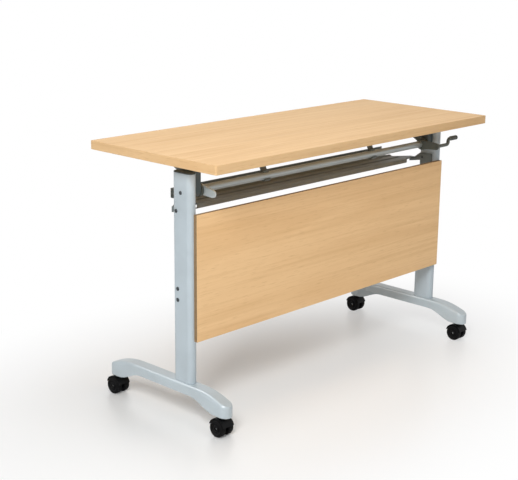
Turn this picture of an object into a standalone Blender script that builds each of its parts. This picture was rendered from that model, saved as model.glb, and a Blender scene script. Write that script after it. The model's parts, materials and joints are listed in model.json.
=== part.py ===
# Flip-top training desk on casters, in metres, +Z up.
# The origin is on the floor under the middle of the top. +X runs to the handle end,
# -Y to the side with the modesty panel, +Y to the sitter.
import math

import bmesh
import bpy
from mathutils import Matrix

# Clearances
FIT_GAP = 0.0003  # between pieces that touch
RUN_GAP = 0.0015  # round a wheel that turns under its hood
LOCK_CLEAR = 0.0006  # between a withdrawn lock pin and its bracket

# Table top
TOP_LENGTH = 1.200
TOP_DEPTH = 0.500
TOP_THICK = 0.025
TOP_HEIGHT = 0.750
BAND_THICK = 0.002
BAND_CORNER = 0.004

# Columns, flat-oval tube
COLUMN_WIDTH = 0.030
COLUMN_DEPTH = 0.070
COLUMN_CORNER = 0.0148
COLUMN_WALL = 0.002
COLUMN_INSET = 0.037  # from the end of the top to the outer face
COLUMN_FORWARD = 0.077  # from the middle of the top to the columns' centre line
COLUMN_TOP_GAP = 0.025  # under the top
CAP_THICK = 0.003
CAP_LIP = 0.010
PLUG_HEIGHT = 0.055

# Cross bar, which is also the axis that the top flips about
PIVOT_DROP = 0.077  # from the underside of the top to the axis
BAR_RADIUS = 0.0105
BUSH_RADIUS = 0.0140
BUSH_INSET = 0.002  # how far a bar bush reaches past the column's inner wall
JOURNAL_RADIUS = 0.005
JOURNAL_PROUD = 0.0015

# Head block on the inner face of a column
HEAD_THICK = 0.027
HEAD_HUB = 0.0175
HEAD_STEP = 0.012
HEAD_REAR = 0.0265
HEAD_RISE = 0.0605
HEAD_CORNER = 0.006

# Lock pin, behind and above the axis
PIN_RADIUS = 0.004
PIN_LENGTH = 0.036
PIN_BACK = 0.0165
PIN_UP = 0.036
SPRING_RADIUS = 0.0036
SPRING_LENGTH = 0.016

# Flip bracket under each end of the top
PLATE_GAP = 0.0035
PLATE_THICK = 0.006
PLATE_HUB = 0.0195
PLATE_TANGENT = 25.0  # where the lower edge leaves the hub, degrees
FLANGE_FRONT = 0.0165  # behind the axis
FLANGE_LENGTH = 0.128
FLANGE_WIDTH = 0.050
FLANGE_THICK = 0.004
FLANGE_LAP = 0.001  # how far the flange stands past the plate welded to it

# Release lever, handle rod and grip
LEVER_GAP = 0.0035
LEVER_THICK = 0.006
LEVER_HUB = 0.0145
LEVER_NOSE = 0.0105
LEVER_REACH = 0.047
LEVER_DIP = math.radians(8)  # below level, at rest
HANDLE_REACH = 0.065  # the longer lever at the handle's end, level at rest
ROD_RADIUS = 0.0055
ROD_BEND = 0.009
CRANK_INSET = 0.010  # from the column's outer face in to the crank
CRANK_RISE = 0.018
GRIP_RADIUS = 0.0072
GRIP_SETBACK = 0.012  # from the crank to the grip
HANDLE_INSET = 0.0015  # inside the end of the top

# Hangers between the top and the bar
HANGER_X = 0.240
HANGER_WIDTH = 0.022
HANGER_RING = 0.0155
HANGER_STRAP = 0.004
HOOK_OPEN = 0.003  # ahead of the axis, where the hook opens
HOOK_LOW = 0.007  # below the axis, the level of the hook's tip
HANGER_FRONT = 0.030  # behind the axis
HANGER_LENGTH = 0.040

# Modesty panel and its brackets
PANEL_THICK = 0.012
PANEL_HEIGHT = 0.353
PANEL_DROP = 0.055  # from the axis to the panel's top edge
PANEL_INSET = 0.014  # from the column's outer face to the panel's end
PANEL_EDGE = 0.001
ANGLE_THICK = 0.004
ANGLE_HEIGHT = 0.070
ANGLE_DROP = 0.2815  # from the axis to the bracket's middle
ANGLE_SIDE = 0.060
ANGLE_FACE = 0.046
ANGLE_BOLT_BACK = 0.013  # from the columns' centre line
ANGLE_BOLT_PITCH = 0.031
ANGLE_SCREW_PITCH = 0.044
ANGLE_SCREW_EDGE = 0.013

# Book shelf and its arms
SHELF_DROP = 0.051  # from the axis to the shelf's upper face
SHELF_BACK = 0.037  # from the axis to the shelf's front edge
SHELF_DEPTH = 0.1055
SHELF_SHEET = 0.0015
SHELF_HEM = 0.012
SHELF_HEM_RETURN = 0.008
SHELF_LIP = 0.0275
SHELF_END_GAP = 0.063  # from the column's inner face to the shelf's end
RIB_COUNT = 2
RIB_WIDTH = 0.014
RIB_SLOPE = 0.003
RIB_HEIGHT = 0.003
ARM_THICK = 0.004
ARM_LENGTH = 0.085  # from the shelf's front edge to the flange's rear edge
ARM_FLANGE = 0.090
ARM_LAP = 0.009  # from the shelf's end to the end of the flange's slanting edge
ARM_ROOT = 0.020  # length of the flange along the web
ARM_PAD_FRONT = 0.020  # ahead of the centre line
ARM_PAD_BACK = 0.026
ARM_PAD_UP = 0.015
ARM_PAD_DOWN = 0.024
ARM_WAIST = 0.010  # below the shelf, where the web leaves the pad
ARM_TAIL = 0.016
PEG_RADIUS = 0.003
PEG_FORWARD = 0.010
PEG_DOWN = 0.015
SHELF_BOLT_BACK = 0.0175

# Feet
FOOT_LENGTH = 0.482
FOOT_FORWARD = 0.009  # from the middle of the top to the foot's middle
FOOT_WIDTH = 0.043
FOOT_DEPTH = 0.030  # thickness of the casting
FOOT_ARCH = 0.0287  # rise of the underside from caster to middle
FOOT_DROOP = 0.0265  # fall of the upper face from middle to tip
FOOT_TOP_ROUND = 0.008
FOOT_BASE_ROUND = 0.003
FOOT_FLAT = 0.130  # half length of the level middle
FOOT_PAD = 0.060  # length of the level pad at each caster
CASTER_SETBACK = 0.0245  # from the foot's tip to the swivel axis

# Casters
WHEEL_RADIUS = 0.025
WHEEL_WIDTH = 0.0165
WHEEL_SIDES = 20
WHEEL_EDGE = 0.005
WHEEL_DISH = 0.003
WHEEL_RIM = 0.0175
WHEEL_BOSS = 0.009
WEB_THICK = 0.012
HOOD_WALL = 0.002
HOOD_LOW = 15.0  # where the hood ends above the axle, degrees
HOOD_HUB = 0.0110
BOSS_RADIUS = 0.0085
BOSS_RISE = 0.002
AXLE_RADIUS = 0.004
TRAIL = 0.008
STEM_RADIUS = 0.0055
SWIVEL_RADIUS = 0.0038
STEM_DEPTH = 0.015
STEM_HEIGHT = 0.020
COLLAR_RADIUS = 0.0080
COLLAR_THICK = 0.0024

# Fasteners
BOLT_RADIUS = 0.003
BOLT_HEAD = 0.0055
BOLT_HEAD_THICK = 0.0025
BOLT_PAST = 0.002  # thread showing past the bracket
FOOT_BOLT_RADIUS = 0.004
FOOT_BOLT_HEAD = 0.0068
FOOT_BOLT_HEAD_THICK = 0.007
FOOT_BOLT_SINK = 0.008
FOOT_BOLT_GRIP = 0.045  # into the column's plug
SCREW_RADIUS = 0.0020
FLANGE_SCREW_EDGE = 0.014
FLANGE_SCREW_PITCH = 0.018
FLANGE_SCREW_ROWS = 2
HANGER_SCREW_EDGE = 0.011

# Facets
WELD = 0.00001
SMOOTH_ANGLE = math.radians(35)
ARC_STEPS = 5
BAR_SIDES = 20
BORE_SIDES = 16
GRIP_SIDES = 14
BOLT_SIDES = 12
SCREW_SIDES = 8
FOOT_STEPS = 8
FOOT_TIP_ANGLES = (25, 45, 62, 76)
ROUND_SHARE = 0.9  # most of the foot's half width that its rounding takes

# Levels and faces that follow from the sizes above
UNDERSIDE = TOP_HEIGHT - TOP_THICK
COLUMN_TOP = UNDERSIDE - COLUMN_TOP_GAP
COLUMN_OUT = TOP_LENGTH / 2 - COLUMN_INSET
COLUMN_IN = COLUMN_OUT - COLUMN_WIDTH
COLUMN_X = (COLUMN_OUT + COLUMN_IN) / 2
AXIS_Y = -COLUMN_FORWARD
AXIS_Z = UNDERSIDE - PIVOT_DROP
COLUMN_FRONT = AXIS_Y - COLUMN_DEPTH / 2
HEAD_OUT = COLUMN_IN - FIT_GAP
HEAD_IN = HEAD_OUT - HEAD_THICK
PLATE_OUT = HEAD_IN - PLATE_GAP
PLATE_IN = PLATE_OUT - PLATE_THICK
LEVER_OUT = PLATE_IN - LEVER_GAP
LEVER_IN = LEVER_OUT - LEVER_THICK
PANEL_BACK = COLUMN_FRONT - FIT_GAP
PANEL_FRONT = PANEL_BACK - PANEL_THICK
PANEL_TOP = AXIS_Z - PANEL_DROP
SHELF_TOP = AXIS_Z - SHELF_DROP
SHELF_FRONT = AXIS_Y + SHELF_BACK
SHELF_END = COLUMN_IN - SHELF_END_GAP
HOOD_IN = WHEEL_RADIUS / math.cos(math.pi / WHEEL_SIDES) + RUN_GAP
HOOD_OUT = HOOD_IN + HOOD_WALL
BOSS_TOP = WHEEL_RADIUS + HOOD_OUT + BOSS_RISE
COLLAR_LOW = BOSS_TOP + FIT_GAP
PAD_Z = COLLAR_LOW + COLLAR_THICK + FIT_GAP
FOOT_BASE = PAD_Z + FOOT_ARCH
FOOT_CROWN = FOOT_BASE + FOOT_DEPTH
CASTER_Y = FOOT_LENGTH / 2 - CASTER_SETBACK
HANDLE_Y = AXIS_Y - HANDLE_REACH
SIDES = (("left", -1), ("right", 1))
ENDS = (("front", -1), ("rear", 1))

# Local axes of a flat outline: its own u, v and thickness go to these world axes
ALONG = {
    "X": Matrix(((0, 0, 1, 0), (1, 0, 0, 0), (0, 1, 0, 0), (0, 0, 0, 1))),
    "Y": Matrix(((0, 1, 0, 0), (0, 0, 1, 0), (1, 0, 0, 0), (0, 0, 0, 1))),
    "Z": Matrix.Identity(4),
}


# Scene, collections and finishes
def clear_scene():
    for obj in list(bpy.data.objects):
        bpy.data.objects.remove(obj, do_unlink=True)


def new_collection(name):
    collection = bpy.data.collections.new(name)
    bpy.context.scene.collection.children.link(collection)
    return collection


clear_scene()
DESK = new_collection("flip_top_desk")
TOOLS = new_collection("cutters")


def finish(name, colour, roughness, metallic=0.0):
    made = bpy.data.materials.new(name)
    made.use_nodes = True
    shader = made.node_tree.nodes["Principled BSDF"]
    shader.inputs["Base Color"].default_value = (*colour, 1.0)
    shader.inputs["Roughness"].default_value = roughness
    shader.inputs["Metallic"].default_value = metallic
    return made


BEECH = finish("beech_laminate", (0.80, 0.56, 0.32), 0.45)
BAND = finish("beech_edge_band", (0.72, 0.47, 0.24), 0.50)
PAINT = finish("pale_grey_paint", (0.50, 0.56, 0.58), 0.40, 0.2)
CAST = finish("pale_grey_casting", (0.50, 0.56, 0.58), 0.45, 0.2)
DARK = finish("dark_grey_paint", (0.06, 0.065, 0.07), 0.50)
MOULDED = finish("dark_plastic", (0.07, 0.08, 0.085), 0.55)
SHEET = finish("graphite_sheet", (0.10, 0.095, 0.09), 0.50, 0.3)
STEEL = finish("zinc_steel", (0.42, 0.43, 0.43), 0.35, 0.9)
SILVER = finish("satin_bar", (0.46, 0.48, 0.47), 0.35, 0.7)
NYLON = finish("black_nylon", (0.012, 0.012, 0.014), 0.45)
TYRE = finish("black_tyre", (0.010, 0.010, 0.011), 0.60)
GRIP = finish("grey_grip", (0.16, 0.17, 0.17), 0.60)


# Outlines
def arc(centre, radius, start, stop, steps=ARC_STEPS):
    points = []
    for step in range(steps + 1):
        angle = math.radians(start + (stop - start) * step / steps)
        points.append((centre[0] + radius * math.cos(angle), centre[1] + radius * math.sin(angle)))
    return points


def circle(centre, radius, steps=BORE_SIDES):
    return arc(centre, radius, 0, 360 - 360 / steps, steps - 1)


def rounded_box(centre, width, height, radius, steps=ARC_STEPS):
    u = width / 2 - radius
    v = height / 2 - radius
    points = []
    for start, sign_u, sign_v in ((0, 1, 1), (90, -1, 1), (180, -1, -1), (270, 1, -1)):
        corner = (centre[0] + sign_u * u, centre[1] + sign_v * v)
        points += arc(corner, radius, start, start + 90, steps)
    return points


def bent_path(corners, radius, steps=ARC_STEPS):
    # An open path whose inner corners are round. Its legs run along the two axes.
    points = [corners[0]]
    for before, here, after in zip(corners, corners[1:], corners[2:]):
        back = [(b - h) / math.dist(before, here) for b, h in zip(before, here)]
        ahead = [(a - h) / math.dist(after, here) for a, h in zip(after, here)]
        for step in range(steps + 1):
            turn = math.radians(90 * step / steps)
            along = 1 - math.sin(turn)
            across = 1 - math.cos(turn)
            legs = zip(here, back, ahead)
            points.append(tuple(h + radius * (along * b + across * a) for h, b, a in legs))
    points.append(corners[-1])
    return points


def about_axis(points):
    return [(AXIS_Y + back, AXIS_Z + up) for back, up in points]


# Solids
def evaluated(obj):
    depsgraph = bpy.context.evaluated_depsgraph_get()
    mesh = bpy.data.meshes.new_from_object(obj.evaluated_get(depsgraph))
    bm = bmesh.new()
    bm.from_mesh(mesh)
    bmesh.ops.remove_doubles(bm, verts=bm.verts, dist=WELD)
    bmesh.ops.recalc_face_normals(bm, faces=bm.faces)
    bpy.data.meshes.remove(mesh)
    bpy.data.objects.remove(obj, do_unlink=True)
    return bm


def curve_holder(dimensions, fill):
    curve = bpy.data.curves.new("outline", "CURVE")
    curve.dimensions = dimensions
    curve.fill_mode = fill
    holder = bpy.data.objects.new("outline", curve)
    bpy.context.scene.collection.objects.link(holder)
    return holder


def add_spline(curve, points, closed):
    spline = curve.splines.new("POLY")
    spline.points.add(len(points) - 1)
    for slot, point in zip(spline.points, points):
        slot.co = (*point, 1.0) if len(point) == 3 else (*point, 0.0, 1.0)
    spline.use_cyclic_u = closed


def prism(axis, low, high, *loops):
    # A flat outline, with any holes as further loops, from low to high along an axis.
    holder = curve_holder("2D", "BOTH")
    for loop in loops:
        add_spline(holder.data, loop, True)
    holder.data.extrude = abs(high - low) / 2
    bm = evaluated(holder)
    bm.transform(ALONG[axis] @ Matrix.Translation((0, 0, (low + high) / 2)))
    return bm


def tube(points, radius):
    holder = curve_holder("3D", "FULL")
    add_spline(holder.data, points, False)
    holder.data.bevel_depth = radius
    holder.data.bevel_resolution = 2
    holder.data.use_fill_caps = True
    return evaluated(holder)


def block(x_range, y_range, z_range):
    bm = bmesh.new()
    spans = (x_range, y_range, z_range)
    middle = [sum(span) / 2 for span in spans]
    size = [abs(span[1] - span[0]) for span in spans]
    place = Matrix.Translation(middle) @ Matrix.Diagonal((*size, 1.0))
    bmesh.ops.create_cube(bm, size=1.0, matrix=place)
    return bm


def rod(axis, centre, radius, low, high, sides=BOLT_SIDES):
    bm = bmesh.new()
    place = ALONG[axis] @ Matrix.Translation((*centre, (low + high) / 2))
    bmesh.ops.create_cone(bm, cap_ends=True, segments=sides, radius1=radius, radius2=radius,
                          depth=abs(high - low), matrix=place)
    return bm


def turned(axis, centre, profile, sides, closed=False, phase=0.0):
    # A profile of (radius, height) points, turned about an axis through centre.
    mesh = bpy.data.meshes.new("profile")
    edges = [(i, i + 1) for i in range(len(profile) - 1)]
    if closed:
        edges.append((len(profile) - 1, 0))
    mesh.from_pydata([(radius, 0.0, height) for radius, height in profile], edges, [])
    holder = bpy.data.objects.new("profile", mesh)
    bpy.context.scene.collection.objects.link(holder)
    screw = holder.modifiers.new("turn", "SCREW")
    screw.steps = sides
    screw.render_steps = sides
    screw.use_merge_vertices = True
    screw.merge_threshold = WELD
    bm = evaluated(holder)
    bpy.data.meshes.remove(mesh)
    bm.transform(ALONG[axis] @ Matrix.Translation((*centre, 0.0)) @ Matrix.Rotation(phase, 4, "Z"))
    return bm


def together(*pieces):
    # Separate bodies in one mesh.
    whole = bmesh.new()
    for piece in pieces:
        mesh = bpy.data.meshes.new("body")
        piece.to_mesh(mesh)
        piece.free()
        whole.from_mesh(mesh)
        bpy.data.meshes.remove(mesh)
    return whole


def shade(mesh):
    mesh.shade_smooth()
    mesh.set_sharp_from_angle(angle=SMOOTH_ANGLE)


def place(name, bm, material, parent=None, pose=None):
    mesh = bpy.data.meshes.new(name)
    bm.to_mesh(mesh)
    bm.free()
    mesh.materials.append(material)
    shade(mesh)
    return place_mesh(name, mesh, parent, pose)


def place_mesh(name, mesh, parent=None, pose=None):
    obj = bpy.data.objects.new(name, mesh)
    DESK.objects.link(obj)
    if pose is not None:
        obj.matrix_world = pose
    if parent is not None:
        world = obj.matrix_world.copy()
        obj.parent = parent
        obj.matrix_parent_inverse = parent.matrix_world.inverted()
        obj.matrix_world = world
    return obj


def shape_with(obj, operation, bm):
    # A boolean by a hidden tool that stays in the cutters' collection.
    mesh = bpy.data.meshes.new(obj.name + "_tool")
    bm.to_mesh(mesh)
    bm.free()
    tool = bpy.data.objects.new(obj.name + "_tool", mesh)
    TOOLS.objects.link(tool)
    tool.hide_render = True
    tool.display_type = "WIRE"
    tool.matrix_world = obj.matrix_world.copy()
    step = obj.modifiers.new(operation.lower(), "BOOLEAN")
    step.operation = operation
    step.solver = "EXACT"
    step.object = tool


def pivot(name, spot):
    empty = bpy.data.objects.new(name, None)
    DESK.objects.link(empty)
    empty.location = spot
    bpy.context.view_layer.update()
    return empty


# Top and its edge band
def build_top(flip):
    core_size = (TOP_LENGTH - 2 * BAND_THICK, TOP_DEPTH - 2 * BAND_THICK)
    core = rounded_box((0, 0), *core_size, BAND_CORNER - BAND_THICK)
    place("table_top", prism("Z", UNDERSIDE, TOP_HEIGHT, core), BEECH, flip)
    outer = rounded_box((0, 0), TOP_LENGTH, TOP_DEPTH, BAND_CORNER)
    wall = BAND_THICK - FIT_GAP
    inner = rounded_box((0, 0), TOP_LENGTH - 2 * wall, TOP_DEPTH - 2 * wall, BAND_CORNER - wall)
    place("top_edge_band", prism("Z", UNDERSIDE, TOP_HEIGHT, outer, inner), BAND, flip)


# Flip brackets, their bushes and the hangers
def screw_hole(x, y, thick):
    top = AXIS_Z + PIVOT_DROP
    return rod("Z", (x, y), SCREW_RADIUS + FIT_GAP, top - 2 * thick, top + thick, SCREW_SIDES)


def build_flip_bracket(side, sign, flip):
    top = PIVOT_DROP - FIT_GAP
    rear = FLANGE_FRONT + FLANGE_LENGTH
    outline = arc((0, 0), PLATE_HUB, 90, 360 + PLATE_TANGENT, 3 * ARC_STEPS)
    inside = top - FLANGE_THICK / 2
    outline += [(rear - FLANGE_LAP, inside), (FLANGE_FRONT + FLANGE_LAP, inside)]
    bore = circle((0, 0), BUSH_RADIUS + FIT_GAP)
    lock_hole = circle((PIN_BACK, PIN_UP), PIN_RADIUS + FIT_GAP, BOLT_SIDES)
    loops = [about_axis(loop) for loop in (outline, bore, lock_hole)]
    plate = prism("X", sign * PLATE_IN, sign * PLATE_OUT, *loops)
    bracket = place("flip_bracket_" + side, plate, DARK, flip)
    flange = block((sign * (PLATE_OUT - FLANGE_WIDTH), sign * (PLATE_OUT + FLANGE_LAP)),
                   (AXIS_Y + FLANGE_FRONT, AXIS_Y + rear),
                   (AXIS_Z + top - FLANGE_THICK, AXIS_Z + top))
    shape_with(bracket, "UNION", flange)
    holes = []
    for back in (FLANGE_FRONT + FLANGE_SCREW_EDGE, rear - FLANGE_SCREW_EDGE):
        for row in range(FLANGE_SCREW_ROWS):
            x = sign * (PLATE_IN - FLANGE_SCREW_EDGE - row * FLANGE_SCREW_PITCH)
            holes.append(screw_hole(x, AXIS_Y + back, FLANGE_THICK))
    shape_with(bracket, "DIFFERENCE", together(*holes))
    ring = circle((AXIS_Y, AXIS_Z), BAR_RADIUS + FIT_GAP)
    rim = circle((AXIS_Y, AXIS_Z), BUSH_RADIUS)
    bush = prism("X", sign * (LEVER_OUT + FIT_GAP), sign * (HEAD_IN - FIT_GAP), rim, ring)
    place("flip_bush_" + side, bush, NYLON, flip)


def build_hanger(side, sign, flip):
    half = HANGER_WIDTH / 2
    x_range = (sign * HANGER_X - half, sign * HANGER_X + half)
    top = PIVOT_DROP - FIT_GAP
    lean = math.atan2(top, HANGER_FRONT + HANGER_STRAP)
    across = (HANGER_STRAP / 2 * math.sin(lean), -HANGER_STRAP / 2 * math.cos(lean))
    foot = (HANGER_FRONT + HANGER_STRAP, top - HANGER_STRAP / 4)
    strap = [(-across[0], -across[1]), across,
             (foot[0] + across[0], foot[1] + across[1]), (foot[0] - across[0], foot[1] - across[1])]
    hanger = place("hanger_" + side, prism("X", *x_range, about_axis(strap)), DARK, flip)
    shape_with(hanger, "UNION", rod("X", (AXIS_Y, AXIS_Z), HANGER_RING, *x_range, BAR_SIDES))
    flange_span = (AXIS_Y + HANGER_FRONT, AXIS_Y + HANGER_FRONT + HANGER_LENGTH)
    flange_levels = (AXIS_Z + top - HANGER_STRAP, AXIS_Z + top)
    shape_with(hanger, "UNION", block(x_range, flange_span, flange_levels))
    past = (x_range[0] - half, x_range[1] + half)
    bar_room = rod("X", (AXIS_Y, AXIS_Z), BAR_RADIUS + FIT_GAP, *past, BAR_SIDES)
    mouth = block(past, (AXIS_Y - 2 * HANGER_RING, AXIS_Y - HOOK_OPEN),
                  (AXIS_Z - HOOK_LOW, AXIS_Z + 2 * HANGER_RING))
    shape_with(hanger, "DIFFERENCE", bar_room)
    shape_with(hanger, "DIFFERENCE", mouth)
    back = AXIS_Y + HANGER_FRONT + HANGER_LENGTH - HANGER_SCREW_EDGE
    spots = (sign * HANGER_X - HANGER_WIDTH / 4, sign * HANGER_X + HANGER_WIDTH / 4)
    shape_with(hanger, "DIFFERENCE", together(*[screw_hole(x, back, HANGER_STRAP) for x in spots]))


# Columns with their caps, plugs, head blocks and bushes
def column_holes(sign):
    into = sign * (COLUMN_IN - COLUMN_WALL)
    inner = sign * (COLUMN_IN + 2 * COLUMN_WALL)
    outer = (sign * (COLUMN_OUT - 2 * COLUMN_WALL), sign * (COLUMN_OUT + COLUMN_WALL))
    through = (into, outer[1])
    holes = [
        rod("X", (AXIS_Y, AXIS_Z), BUSH_RADIUS + FIT_GAP, into, inner, BAR_SIDES),
        rod("X", (AXIS_Y, AXIS_Z), JOURNAL_RADIUS + FIT_GAP, *outer),
        rod("X", (AXIS_Y + PIN_BACK, AXIS_Z + PIN_UP), PIN_RADIUS + FIT_GAP, into, inner),
        rod("X", peg_spot(), PEG_RADIUS + FIT_GAP, into, inner),
        rod("X", shelf_bolt_spot(), BOLT_RADIUS + FIT_GAP, *through),
    ]
    holes += [rod("X", spot, BOLT_RADIUS + FIT_GAP, *through) for spot in angle_bolt_spots()]
    return together(*holes)


def column_outline(shrink):
    corner = COLUMN_CORNER - shrink
    return COLUMN_WIDTH - 2 * shrink, COLUMN_DEPTH - 2 * shrink, corner


def build_column(side, sign):
    centre = (sign * COLUMN_X, AXIS_Y)
    outer = rounded_box(centre, *column_outline(0))
    inner = rounded_box(centre, *column_outline(COLUMN_WALL))
    tube_wall = prism("Z", FOOT_CROWN + FIT_GAP, COLUMN_TOP, outer, inner)
    column = place("column_" + side, tube_wall, PAINT)
    shape_with(column, "DIFFERENCE", column_holes(sign))

    seated = rounded_box(centre, *column_outline(COLUMN_WALL + FIT_GAP))
    cap_plate = prism("Z", COLUMN_TOP + FIT_GAP, COLUMN_TOP + CAP_THICK, outer)
    cap = place("column_cap_" + side, cap_plate, MOULDED)
    shape_with(cap, "UNION", prism("Z", COLUMN_TOP - CAP_LIP, COLUMN_TOP + CAP_THICK / 2, seated))

    bolt_hole = circle(centre, FOOT_BOLT_RADIUS + FIT_GAP, BOLT_SIDES)
    low = FOOT_CROWN + FIT_GAP
    place("column_plug_" + side, prism("Z", low, low + PLUG_HEIGHT, seated, bolt_hole), STEEL)


def build_head(side, sign):
    outline = arc((0, 0), HEAD_HUB, 180, 360, 2 * ARC_STEPS)
    outline += [(HEAD_HUB, HEAD_STEP)]
    outline += arc((HEAD_REAR - HEAD_CORNER, HEAD_STEP + HEAD_CORNER), HEAD_CORNER, 270, 360)
    outline += arc((HEAD_REAR - HEAD_CORNER, HEAD_RISE - HEAD_CORNER), HEAD_CORNER, 0, 90)
    outline += arc((HEAD_CORNER - HEAD_HUB, HEAD_RISE - HEAD_CORNER), HEAD_CORNER, 90, 180)
    bore = circle((0, 0), BUSH_RADIUS + FIT_GAP)
    pin_bore = circle((PIN_BACK, PIN_UP), PIN_RADIUS + FIT_GAP, BOLT_SIDES)
    loops = [about_axis(loop) for loop in (outline, bore, pin_bore)]
    place("head_block_" + side, prism("X", sign * HEAD_IN, sign * HEAD_OUT, *loops), MOULDED)
    rim = circle((AXIS_Y, AXIS_Z), BUSH_RADIUS)
    ring = circle((AXIS_Y, AXIS_Z), BAR_RADIUS + FIT_GAP)
    bush_end = COLUMN_IN + COLUMN_WALL + BUSH_INSET
    place("bar_bush_" + side, prism("X", sign * HEAD_IN, sign * bush_end, rim, ring), NYLON)


def build_lock(side, sign):
    spot = (AXIS_Y + PIN_BACK, AXIS_Z + PIN_UP)
    tip = PLATE_OUT + LOCK_CLEAR
    heel = tip + PIN_LENGTH
    slide = pivot("lock_slide_" + side, (sign * tip, *spot))
    place("lock_pin_" + side, rod("X", spot, PIN_RADIUS, sign * tip, sign * heel), STEEL, slide)
    coil = rod("X", spot, SPRING_RADIUS, sign * (heel + FIT_GAP), sign * (heel + SPRING_LENGTH))
    place("lock_spring_" + side, coil, STEEL, slide)


# Cross bar, levers and handle
def lever_outline(reach, dip):
    nose = (-reach * math.cos(dip), -reach * math.sin(dip))
    lean = math.degrees(math.asin((LEVER_HUB - LEVER_NOSE) / reach))
    tilt = math.degrees(dip)
    outline = arc((0, 0), LEVER_HUB, tilt + lean - 90, tilt + 90 - lean, 2 * ARC_STEPS)
    return outline + arc(nose, LEVER_NOSE, tilt + 90 - lean, tilt + 270 + lean, 2 * ARC_STEPS)


def build_release(turn):
    shoulder = COLUMN_OUT - COLUMN_WALL - FIT_GAP
    end = COLUMN_OUT + JOURNAL_PROUD
    profile = [(0, end), (JOURNAL_RADIUS, end), (JOURNAL_RADIUS, shoulder), (BAR_RADIUS, shoulder),
               (BAR_RADIUS, -shoulder), (JOURNAL_RADIUS, -shoulder), (JOURNAL_RADIUS, -end), (0, -end)]
    place("cross_bar", turned("X", (AXIS_Y, AXIS_Z), profile, BAR_SIDES), SILVER, turn)

    bore = circle((0, 0), BAR_RADIUS + FIT_GAP, BAR_SIDES)
    rod_bore = circle((-HANDLE_REACH, 0), ROD_RADIUS + FIT_GAP, BOLT_SIDES)
    levers = {"left": (SILVER, [lever_outline(LEVER_REACH, LEVER_DIP), bore]),
              "right": (DARK, [lever_outline(HANDLE_REACH, 0), bore, rod_bore])}
    for side, sign in SIDES:
        material, loops = levers[side]
        solid = prism("X", sign * LEVER_IN, sign * LEVER_OUT, *[about_axis(loop) for loop in loops])
        place("release_lever_" + side, solid, material, turn)

    crank = COLUMN_OUT - CRANK_INSET
    grip_end = TOP_LENGTH / 2 - HANDLE_INSET
    high = AXIS_Z + CRANK_RISE
    grip_wall = GRIP_RADIUS - ROD_RADIUS
    corners = [(LEVER_IN, AXIS_Z), (crank, AXIS_Z), (crank, high), (grip_end - 2 * grip_wall, high)]
    path = bent_path(corners, ROD_BEND)
    place("handle_rod", tube([(x, HANDLE_Y, z) for x, z in path], ROD_RADIUS), DARK, turn)
    start = crank + GRIP_SETBACK
    bore_radius = ROD_RADIUS + FIT_GAP
    bore_end = grip_end - grip_wall
    profile = [(0, grip_end), (GRIP_RADIUS - grip_wall, grip_end), (GRIP_RADIUS, grip_end - grip_wall),
               (GRIP_RADIUS, start), (bore_radius, start), (bore_radius, bore_end), (0, bore_end)]
    place("handle_grip", turned("X", (HANDLE_Y, high), profile, GRIP_SIDES), GRIP, turn)


# Modesty panel and its brackets
def angle_bolt_spots():
    level = AXIS_Z - ANGLE_DROP
    back = AXIS_Y + ANGLE_BOLT_BACK
    return [(back, level - ANGLE_BOLT_PITCH / 2), (back, level + ANGLE_BOLT_PITCH / 2)]


def angle_screw_holes(sign):
    level = AXIS_Z - ANGLE_DROP
    x = sign * (HEAD_OUT - ANGLE_FACE + ANGLE_SCREW_EDGE)
    near = PANEL_BACK + FIT_GAP
    levels = (level - ANGLE_SCREW_PITCH / 2, level + ANGLE_SCREW_PITCH / 2)
    reach = (near - ANGLE_THICK, near + 2 * ANGLE_THICK)
    return [rod("Y", (z, x), SCREW_RADIUS + FIT_GAP, *reach, SCREW_SIDES) for z in levels]


def build_panel():
    half = COLUMN_OUT - PANEL_INSET
    board = block((-half, half), (PANEL_FRONT, PANEL_BACK), (PANEL_TOP - PANEL_HEIGHT, PANEL_TOP))
    bmesh.ops.bevel(board, geom=board.edges, offset=PANEL_EDGE, segments=1, affect="EDGES", profile=0.5)
    place("modesty_panel", board, BEECH)

    level = AXIS_Z - ANGLE_DROP
    for side, sign in SIDES:
        near = PANEL_BACK + FIT_GAP
        side_end = near + ANGLE_SIDE
        face_end = HEAD_OUT - ANGLE_FACE
        inner = (HEAD_OUT - ANGLE_THICK, near + ANGLE_THICK)
        outline = [(HEAD_OUT, near), (HEAD_OUT, side_end), (inner[0], side_end), inner,
                   (face_end, inner[1]), (face_end, near)]
        outline = [(sign * x, y) for x, y in outline]
        solid = prism("Z", level - ANGLE_HEIGHT / 2, level + ANGLE_HEIGHT / 2, outline)
        bracket = place("panel_bracket_" + side, solid, PAINT)
        past = (sign * (HEAD_OUT - 2 * ANGLE_THICK), sign * (HEAD_OUT + ANGLE_THICK))
        bolt_holes = [rod("X", spot, BOLT_RADIUS + FIT_GAP, *past) for spot in angle_bolt_spots()]
        shape_with(bracket, "DIFFERENCE", together(*bolt_holes, *angle_screw_holes(sign)))


def cross_bolt(spot, sign, inner_face):
    # A button-head bolt from the column's outer face through to a bracket inside.
    seat = COLUMN_OUT + FIT_GAP
    end = inner_face - BOLT_PAST
    profile = [(0, end), (BOLT_RADIUS, end), (BOLT_RADIUS, seat), (BOLT_HEAD, seat),
               (BOLT_HEAD, seat + BOLT_HEAD_THICK / 2), (BOLT_HEAD / 2, seat + BOLT_HEAD_THICK),
               (0, seat + BOLT_HEAD_THICK)]
    return turned("X", spot, [(radius, sign * x) for radius, x in profile], BOLT_SIDES)


def build_shelf_bolt(side, sign):
    place("shelf_bolt_" + side, cross_bolt(shelf_bolt_spot(), sign, HEAD_OUT - ARM_THICK), STEEL)


# Book shelf and the arms that carry it
def shelf_bolt_spot():
    return AXIS_Y + SHELF_BOLT_BACK, SHELF_TOP


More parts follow.
